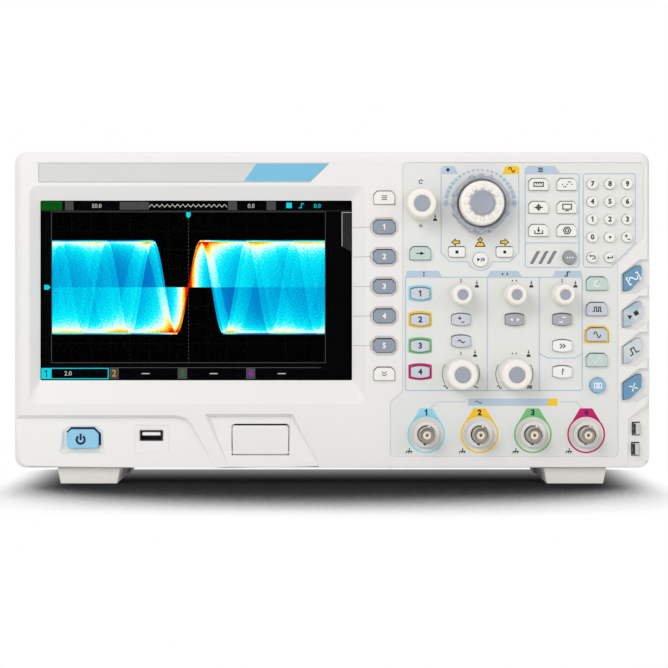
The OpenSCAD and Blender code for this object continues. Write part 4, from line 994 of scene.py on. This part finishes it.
keySigns = {  # sign, colour and size on each single key
    "power_button": ("power", "navy", 2.95), "menu_key": ("bars", "dark", 1.8),
    "page_key": ("down", "dark", 1.8), "stop_key": ("stop", "navy", 1.5),
    "play_key": ("play", "navy", 1.8), "record_key": ("record", "navy", 1.6),
    "record_set_key": ("slider", "dark", 2.1),
    "mode_key": ("dots", "white", 2.0), "print_key": ("shot", "white", 2.3),
    "auto_key": ("bracket", "white", 2.8), "run_stop_key": ("go stop", "dark", 2.6),
    "single_key": ("single", "dark", 2.6), "clear_key": ("wipe", "white", 2.6),
}
strokeShare = 0.26  # line width as a share of a sign's size
keyStrokes = {"power_button": 1.3}  # lines of a width of their own, in mm
keyShifts = {"power_button": (-1.0, -0.5)}  # signs that sit off the middle of their key
sideKeys = ("auto_key", "run_stop_key", "single_key", "clear_key")
sideLean = math.radians(31)
groupSigns = {  # the same for keys that share a body, from the top left
    "menu_keys": (("ruler", "samples", "cross", "screen", "tray", "nut"), 6 * ("dark",), 2.3),
    "math_keys": (("sum", "low sine"), 2 * ("dark",), 2.1),
    "trigger_keys": (("left right", "edge", "skip", "?"), ("white", "white", "dark", "dark"), 2.1),
    "analysis_keys": (("turn", "pulse", "sine", "samples"), ("white", "dark", "dark", "white"), 2.1),
}
groupStroke, questionHeight = 0.6, 3.4
digitKeys = {"softkey": (5, "white", 3.0), "channel_key": (4, "navy", 3.3)}  # count, colour, height
digitWeight = 0.05
padMarks = list("7894561230") + ["record", "sum", "back", "enter"]
padLook = {"digit": 2.8, "weight": 0.06, "dot": 1.2, "sign": 1.8, "stroke": 0.55}


def printKeys():
    for name, (sign, colour, size) in keySigns.items():
        (x, z), (u, v) = middleOf(name), keyShifts.get(name, (0, 0))
        stroke = keyStrokes.get(name, strokeShare * size)
        lean = sideLean if name in sideKeys else 0.0
        ink(colour, name).sign(sign, x + u, z + v, size, faceOf(name), stroke, lean)
    for kind, (count, colour, height) in digitKeys.items():
        for n in range(1, count + 1):
            name = "%s_%d" % (kind, n)
            ink(colour, name).number(str(n), *middleOf(name), height, faceOf(name), digitWeight)
    for name, (signNames, colours, size) in groupSigns.items():
        for (x, z), sign, colour in zip(islands(name), signNames, colours):
            if sign == "?":
                ink(colour, name).number(sign, x, z, questionHeight, faceOf(name))
            else:
                ink(colour, name).sign(sign, x, z, size, faceOf(name), groupStroke)
    look = padLook
    pad, face = ink("dark", "number_keys"), faceOf("number_keys")
    for (x, z), mark in zip(islands("number_keys"), padMarks):
        if mark.isdigit():
            pad.number(mark, x, z, look["digit"], face, look["weight"])
        else:
            pad.sign(mark, x, z, look["dot" if mark == "record" else "sign"], face, look["stroke"])


for printPart in (printRecordBox, printDialArc, printMenuBoxes, printSections, printKnobMarks,
                  printKeyRings, printInputs, printTerminals, printPowerGap, printNameTag, printKeys):
    printPart()
for layerInk in inks.values():
    layerInk.done()
print("printing done:", len(inks), "pieces")


# Inlays in the knob faces

inlays = {  # radius of the dish and how far its floor lies behind the foremost plane, in mm
    "multipurpose_knob": (4.7, 0.6), "vertical_position_knob": (3.05, 0.6),
    "horizontal_position_knob": (3.05, 0.6), "trigger_level_knob": (3.05, 0.6),
    "vertical_scale_knob": (4.65, 0.6), "horizontal_scale_knob": (4.65, 0.6), "jog_dial": (7.15, 1.3),
}
inlayLook = {"colour": (160, 165, 178), "rough": 0.42, "grain": 0.01, "drift": 0.04,
             "play": 0.04, "thick": 0.08, "rimDown": 0.05, "sink": 0.03, "rings": 5}  # lengths in mm
inlayFinish = mouldedPlastic("inlay_grey", inlayLook)
roundSides = 48


def roundRing(built, x, z, radius, depth):  # corners of a circle about an axis along Y
    return [built.verts.new((u * mm, depth * mm, v * mm)) for u, v in disc(x, z, radius, roundSides)]


def addInlay(name, radius, down):  # a hollow button: thin in the middle, thicker at its rim
    look = inlayLook
    x, z = middleOf(name)
    floor = faceOf(name) + down
    radius -= look["play"]
    middle = floor - look["thick"]
    rim = middle - (down - look["thick"] - look["rimDown"])
    shares = [k / look["rings"] for k in range(1, look["rings"] + 1)]
    profile = [(radius * share, middle + (rim - middle) * share ** 2) for share in shares]
    profile.append((radius, floor + look["sink"]))
    built = bmesh.new()
    rings = [roundRing(built, x, z, *spot) for spot in profile]
    tip = built.verts.new((x * mm, middle * mm, z * mm))
    for i in range(roundSides):
        built.faces.new((tip, rings[0][i - 1], rings[0][i]))
        for near, far in zip(rings, rings[1:]):
            built.faces.new((near[i - 1], far[i - 1], far[i], near[i]))
    built.faces.new(rings[-1])
    bmesh.ops.recalc_face_normals(built, faces=built.faces)
    for face in built.faces[:-1]:
        face.smooth = True
    addPiece(name + "_inlay", built, inlayFinish, name)


for name, (radius, down) in inlays.items():
    addInlay(name, radius, down)
print("knob inlays done:", len(inlays))


# Seal round the panel plate

def outlineAt(name, depth):  # the outermost outline of a piece in a plane, in mm
    shape = joinedShape(name)
    parts = shape.verts[:] + shape.edges[:] + shape.faces[:]
    cut = bmesh.ops.bisect_plane(shape, geom=parts, plane_co=(0, depth * mm, 0), plane_no=(0, 1, 0))
    edges = [part for part in cut["geom_cut"] if isinstance(part, bmesh.types.BMEdge)]
    loops = []
    while edges:
        edge = edges.pop()
        loop = list(edge.verts)
        while edge:
            edge = next((other for other in loop[-1].link_edges if other in edges), None)
            if edge:
                edges.remove(edge)
                loop.append(edge.other_vert(loop[-1]))
        loops.append([(vertex.co.x / mm, vertex.co.z / mm) for vertex in loop[:-1]])
    shape.free()
    return max(loops, key=lambda loop: max(x for x, z in loop) - min(x for x, z in loop))


panelSeal = {"colour": (238, 236, 232), "rough": 0.5, "grain": 0.006, "drift": 0.02,
             "outlineDown": 0.4, "down": 0.2, "width": 0.36}  # in mm, down from the plate's face


def addPanelSeal():  # lies in the gap between the plate and the bezel
    look = panelSeal
    seal = Ink("panel_seal", "case", mouldedPlastic("panel_seal", look))
    outline = outlineAt("control_panel", panelFace + look["outlineDown"])
    seal.line(outline, look["width"], panelFace + look["down"], True)
    seal.done()


addPanelSeal()
print("panel seal done")


# Linings of the input jacks, and a ring of painted shade round each barrel

linings = {  # outline of each ring as radius and depth below the plate's face in mm, and its colour
    "jack_dish_rings": {"outline": [(7.5, 0.98), (7.5, 0.9), (8.0, 0.9), (10.1, -0.08), (10.1, 0.1),
                                    (8.0, 1.05)], "colour": (243, 242, 238), "rough": 0.4},
    "jack_washers": {"outline": [(4.95, -1.46), (4.95, -1.6), (7.3, -1.6), (7.45, -1.46)],
                     "colour": (240, 238, 233), "rough": 0.35},
    # painted shade: a dark ring round the base of each jack's barrel, in place of the shadow at its rim
    "jack_seals": {"outline": [(4.9, -1.58), (4.9, -1.95), (5.35, -1.95), (5.35, -1.58)],
                   "colour": (62, 56, 50), "rough": 0.5},
    "jack_bushes": {"outline": [(2.5, -8.2), (2.5, -8.8), (3.9, -8.8), (3.9, -8.2)],
                    "colour": (186, 176, 160), "rough": 0.45},
}
liningSkin = {"grain": 0.006, "drift": 0.05}


def addLining(name, look):
    built = bmesh.new()
    for x, z in islands("input_jacks"):
        rings = [roundRing(built, x, z, radius, panelFace + down) for radius, down in look["outline"]]
        for k in range(len(rings)):
            for i in range(roundSides):
                built.faces.new((rings[k - 1][i - 1], rings[k][i - 1], rings[k][i], rings[k - 1][i]))
    bmesh.ops.recalc_face_normals(built, faces=built.faces)
    addPiece(name, built, mouldedPlastic(name, dict(liningSkin, **look)), "case")


for name, look in linings.items():
    addLining(name, look)
print("jack linings done:", len(linings))


# Picture on the screen, in mm from the middle of its grid

screen = {
    "middle": (-84.65, 115.35), "columns": 14, "rows": 8, "half": (80.4, 44.1), "over": 0.2,
    "rise": 0.02, "dot": (0.25, 0.5), "dotsEach": 5, "dotTone": (21, 21, 22), "axisTone": (66, 66, 66),
    "axisHalf": 0.4, "margin": 0.4, "frameWidth": 0.3,
}
trace = {  # many sines over each other; heights in mm from the middle
    "height": 27.3, "periods": (27.4, 29.8), "shares": (0.312, 0.262, 0.072), "late": 0.72,
    "gain": 0.6, "lineFrom": 26.0, "lineTo": 26.9, "top": 27.7, "lineGain": 0.22, "fringeLoss": 0.62,
    "grain": (800.0, 1.0, 1500.0), "grainLow": 0.55, "grainSpread": 0.9, "least": 0.004,
    "knot": 0.2, "steepest": 0.9995, "crest": 0.12,
}
traceStops = [  # how often the trace passes, and the colour that shows it
    (0.0, (0, 0, 0)), (0.006, (0, 50, 140)), (0.05, (0, 96, 190)), (0.095, (0, 150, 214)),
    (0.15, (0, 215, 245)), (0.21, (20, 250, 255)), (0.31, (225, 255, 255)), (0.425, (255, 255, 190)),
    (0.525, (255, 225, 20)), (0.725, (255, 140, 0)), (0.95, (240, 10, 0)),
]
glowColours = {
    "white": (205, 205, 195), "grey": (74, 74, 76), "dim": (44, 44, 45), "cyan": (22, 214, 226),
    "yellow": (214, 164, 10), "green": (8, 132, 20), "purple": (176, 0, 208), "moss": (10, 84, 18),
    "black": (2, 2, 2),
}
glowLook = {"glass": (2, 2, 2), "rough": 0.4, "dotScale": 2400.0, "dotShade": 0.92}
pictureDepth = faceOf("display_module") - layer
marksDepth = pictureDepth - layer
glows = {}


def litGlass(finish, colour):  # dark glass that shines in this colour
    return finish.surface({
        "Base Color": tone(*glowLook["glass"]), "Roughness": glowLook["rough"],
        "Specular IOR Level": 0.0, "Emission Color": colour, "Emission Strength": 1.0,
    })


def glowFinish(name, colour):
    finish = Finish(name)
    dots = finish.noise(glowLook["dotScale"], 1.0)
    return litGlass(finish, finish.between(dots, shaded(colour, glowLook["dotShade"]), colour))


def glow(colour):  # the one piece that holds this colour on the screen
    if colour not in glows:
        finish = glowFinish("glow_" + colour, tone(*glowColours[colour]))
        glows[colour] = Ink("screen_" + colour + "_marks", "case", finish)
    return glows[colour]


def passes(across, up, period, late):  # how densely sines of many periods cover a spot
    look = trace
    start = abs(across) | look["knot"] * mm
    rise = up / (look["height"] * mm) * across.math("SIGN", across)
    turn = rise.math("ARCSINE", (rise & look["steepest"]) | -look["steepest"]) / (2 * math.pi)
    last = start / (period * mm)
    first = last * late
    count = ((last - turn).floor() - (first - turn).floor()
             + (last - 0.5 + turn).floor() - (first - 0.5 + turn).floor())
    return count / (last * (2 * math.pi * (1 - late)) * ((1 - rise * rise) | look["crest"]) ** 0.5)


def gridDots(across, up):  # dotted lines between the squares
    look = screen
    halfWide, halfTall = look["half"]
    wide, tall = 2 * halfWide * mm / look["columns"], 2 * halfTall * mm / look["rows"]
    thin, long = look["dot"]

    def near(value, pitch, reach):
        share = value / pitch + 0.5
        return abs(share.math("FRACT", share) - 0.5) < reach * mm / pitch
    upright = near(across, wide, thin) & near(up, tall / look["dotsEach"], long)
    return upright | (near(up, tall, thin) & near(across, wide / look["dotsEach"], long))


def traceFinish():
    finish = Finish("screen_trace")
    look = trace
    x, z = screen["middle"]
    across, up = finish.along("X") - x * mm, finish.along("Z") - z * mm
    slow, quick = look["periods"]
    slowShare, quickShare, lateShare = look["shares"]
    amount = (passes(across, up, slow, 0.0) * slowShare + passes(across, up, quick, 0.0) * quickShare
              + passes(across, up, slow, look["late"]) * lateShare)
    speckle = finish.noise(1.0, 1.0, finish.stretched(look["grain"]))
    grain = speckle * look["grainSpread"] + look["grainLow"]
    height = abs(up)
    line = (height > look["lineFrom"] * mm) & (height < look["lineTo"] * mm)
    fringe = height > look["lineTo"] * mm
    inside = (height < look["top"] * mm) & (abs(across) < screen["half"][0] * mm)
    amount = amount * grain * inside * look["gain"]
    amount = amount * (line * look["lineGain"] + 1) * (1 - fringe * look["fringeLoss"])
    stops = [(where, tone(*colour)) for where, colour in traceStops]
    shown = finish.node("ValToRGB", {"stops": stops}, {0: amount})
    axis = abs(across) < screen["axisHalf"] * mm
    dots = finish.between(axis, tone(*screen["dotTone"]), tone(*screen["axisTone"]))
    bare = gridDots(across, up) & (amount < look["least"])
    return litGlass(finish, finish.between(bare, shown, dots))


def gridBlock(more):  # the grid's outline, larger by this much on each side
    wide, tall = (half + more for half in screen["half"])
    return moved(block(-wide, -tall, wide, tall), *screen["middle"])


def addScreenPicture():
    plate = Ink("screen_picture", "case", traceFinish())
    plate.rise = screen["rise"]
    plate.fill(gridBlock(screen["over"]), pictureDepth)
    plate.done()


screenBoxes = [  # colour, then left, low, right and top
    ("moss", -87.0, 45.5, -74.4, 50.8), ("grey", -72.8, 45.5, -67.8, 50.8),
    ("grey", -40.5, 45.8, -23.2, 50.4), ("grey", 23.4, 45.5, 28.6, 50.8),
    ("grey", 46.1, 45.5, 51.5, 50.8), ("cyan", 57.7, 46.7, 61.0, 49.9),
    ("cyan", -86.8, -54.1, -81.0, -47.6),
    ("grey", -46.6, -54.0, -41.1, -47.7), ("grey", -6.3, -54.0, -0.8, -47.7),
    ("grey", 34.0, -54.0, 39.4, -47.7),
]
screenNumbers = [  # colour, text, place and height
    ("white", "50.0", -54.1, 47.9, 2.4), ("white", "0.0", 37.0, 47.9, 2.4),
    ("cyan", "0.0", 76.0, 47.9, 2.4), ("white", "2.0", -71.0, -50.9, 2.6),
    ("black", "1", -83.9, -50.9, 4.0), ("yellow", "2", -43.9, -50.9, 4.0),
    ("green", "3", -3.6, -50.9, 4.0), ("purple", "4", 36.7, -50.9, 4.0),
]
screenLines = [  # colour, width and points
    ("dim", 0.4, [(-87.0, 45.1), (96.0, 45.1)]), ("grey", 0.4, [(-46.6, -47.4), (78.0, -47.4)]),
    ("white", 0.5, [(-27.6, -50.9), (-22.9, -50.9)]), ("white", 0.5, [(12.5, -50.9), (17.2, -50.9)]),
    ("white", 0.5, [(52.7, -50.9), (57.4, -50.9)]),
    ("white", 0.3, [(90.6, 24.2), (90.6, 44.2), (96.2, 44.2)]),
    ("cyan", 0.45, [(65.0, 46.9), (66.6, 46.9), (66.6, 49.3), (68.2, 49.3)]),
]
tagFrame = {"box": (-81.0, -53.9, -47.3, -47.8), "width": 0.5}
zigzag = {"left": -23.2, "long": 46.0, "steps": 30, "up": 48.1, "half": 0.85, "width": 0.35}
sideTab = [(91.0, 24.0), (96.2, 20.6), (96.2, 43.8), (91.0, 43.8)]
pointer = {"shape": [(-1.3, 1.6), (-1.3, -0.6), (0, -1.9), (1.3, -0.6), (1.3, 1.6)], "up": 42.6,
           "left": 83.3, "leftSize": 1.1}


def addScreenMarks():
    x, z = screen["middle"]
    depth, overDepth = marksDepth, marksDepth - 2 * layer
    glow("grey").line(gridBlock(screen["margin"]), screen["frameWidth"], depth, True)
    for colour, *box in screenBoxes:
        glow(colour).fill(moved(block(*box), x, z), depth)
    for colour, width, points in screenLines:
        glow(colour).line(moved(points, x, z), width, depth)
    for colour, text, u, v, height in screenNumbers:
        glow(colour).number(text, x + u, z + v, height, overDepth, 0.0)
    glow("cyan").line(moved(block(*tagFrame["box"]), x, z), tagFrame["width"], depth, True)
    look = zigzag
    steps, half = look["steps"], look["half"]
    points = [(look["left"] + look["long"] * k / steps, look["up"] + (half if k % 2 else -half))
              for k in range(steps + 1)]
    glow("white").line(moved(points, x, z), look["width"], depth)
    glow("dim").fill(moved(sideTab, x, z), depth)
    look = pointer
    glow("cyan").fill(moved(look["shape"], x, z + look["up"]), overDepth)
    glow("cyan").fill(moved(look["shape"], x - look["left"], z, look["leftSize"], math.pi / 2), depth)
    for marks in glows.values():
        marks.done()


addScreenPicture()
addScreenMarks()
print("screen picture done:", len(glows) + 1, "pieces")


# Studio

studio = {
    "distance": 1.0, "eye": 0.1, "middle": 1.2 * mm,  # of the camera, in metres
    "sensor": 36.0,  # in mm
    "seenWidth": 390.8 * mm, "frameMiddle": 87.9 * mm,  # at the front plane
    "ambient": 0.45,  # light from all round
    "aim": (0, 0, 0.09),  # where the lamps point
}


def addCamera():
    camera = bpy.data.objects.new("camera", bpy.data.cameras.new("camera"))
    bpy.context.scene.collection.objects.link(camera)
    camera.location = (studio["middle"], frontY - studio["distance"], studio["eye"])
    camera.rotation_euler = (math.pi / 2, 0, 0)
    lens = camera.data
    lens.sensor_width = studio["sensor"]
    lens.lens = lens.sensor_width * studio["distance"] / studio["seenWidth"]
    lens.shift_y = (studio["frameMiddle"] - studio["eye"]) / studio["seenWidth"]
    lens.clip_start = 0.01
    bpy.context.scene.camera = camera


lamps = {  # place in metres, size of the softbox and power in watts
    "keyLamp": {"at": (-0.75, -1.25, 0.85), "size": 0.9, "power": 10.1},
    "fillLamp": {"at": (1.1, -0.9, 0.35), "size": 1.2, "power": 4.6},
    "topLamp": {"at": (0.0, 0.35, 1.5), "size": 1.2, "power": 5.0},
}


def addLamp(name, look):
    lamp = bpy.data.lights.new(name, "AREA")
    lamp.size = look["size"]
    lamp.energy = look["power"]
    holder = bpy.data.objects.new(name, lamp)
    bpy.context.scene.collection.objects.link(holder)
    holder.location = look["at"]
    aim = Vector(studio["aim"]) - holder.location
    holder.rotation_euler = aim.to_track_quat("-Z", "Y").to_euler()


def seenRays(finish):  # rays that show the backdrop itself, or its mirror image
    def ray(kind):
        return finish.node("LightPath", out=kind)
    return ray("Is Camera Ray") | ray("Is Glossy Ray") | ray("Is Transmission Ray")


class Backdrop(Finish):  # the world, built with the same node method
    def __init__(self):
        self.world = bpy.data.worlds.new("studio")
        self.world.use_nodes = True
        self.tree = self.world.node_tree
        self.tree.nodes.clear()


def grey(level):
    return (level, level, level, 1)


def addBackdrop():
    backdrop = Backdrop()
    strength = seenRays(backdrop) * (1 - studio["ambient"]) + studio["ambient"]
    light = backdrop.node("Background", sockets={"Color": grey(1), "Strength": strength})
    backdrop.node("OutputWorld", sockets={"Surface": light})
    bpy.context.scene.world = backdrop.world


floorLook = {  # in metres: a painted soft shadow that fades to white beside the part and behind it
    "corners": [(-6, -4, 0), (6, -4, 0), (6, 8, 0), (-6, 8, 0)], "paper": (0.9, 0.92),
    "speckleScale": 300.0, "shade": 0.03, "reach": 0.22, "tilt": (0, 0.6, 0.8), "samples": 16,
    "fade": (0.5, 0.8), "side": (0.145, 0.197), "back": (-0.045, 0.07), "backShare": 0.25,
}


def addFloor():
    look = floorLook
    mesh = bpy.data.meshes.new("floor")
    mesh.from_pydata(look["corners"], [], [(0, 1, 2, 3)])
    floor = bpy.data.objects.new("floor", mesh)
    bpy.context.scene.collection.objects.link(floor)
    finish = Finish("floor")
    speckle = finish.noise(look["speckleScale"])
    dark, light = (grey(level) for level in look["paper"])
    paper = finish.node("BsdfDiffuse", sockets={"Color": finish.between(speckle, dark, light)})
    shade = finish.node("BsdfDiffuse", sockets={"Color": grey(look["shade"])})
    white = finish.node("Emission", sockets={"Color": grey(1), "Strength": 1.0})
    # painted shadow: camera and mirror rays see dark paper where the part hides much of the sky and
    # white elsewhere, made lighter beside and behind the part
    tilt = finish.node("CombineXYZ", sockets=dict(enumerate(look["tilt"])))
    clear = finish.node("AmbientOcclusion", {"samples": look["samples"]},
                        {"Distance": look["reach"], "Normal": tilt}, "AO")
    side = finish.ease(abs(finish.along("X")), *look["side"])
    back = finish.ease(finish.along("Y"), *look["back"])
    clearOfPaintedShadow = finish.ease(clear, *look["fade"]) | side * side | back * back * look["backShare"]
    shown = finish.node("MixShader", sockets={0: clearOfPaintedShadow, 1: shade, 2: white})
    whole = finish.node("MixShader", sockets={0: seenRays(finish), 1: paper, 2: shown})
    mesh.materials.append(finish.show(whole))


addCamera()
for name, look in lamps.items():
    addLamp(name, look)
addBackdrop()
addFloor()
bpy.context.scene.view_settings.view_transform = "Standard"
print("studio ready")
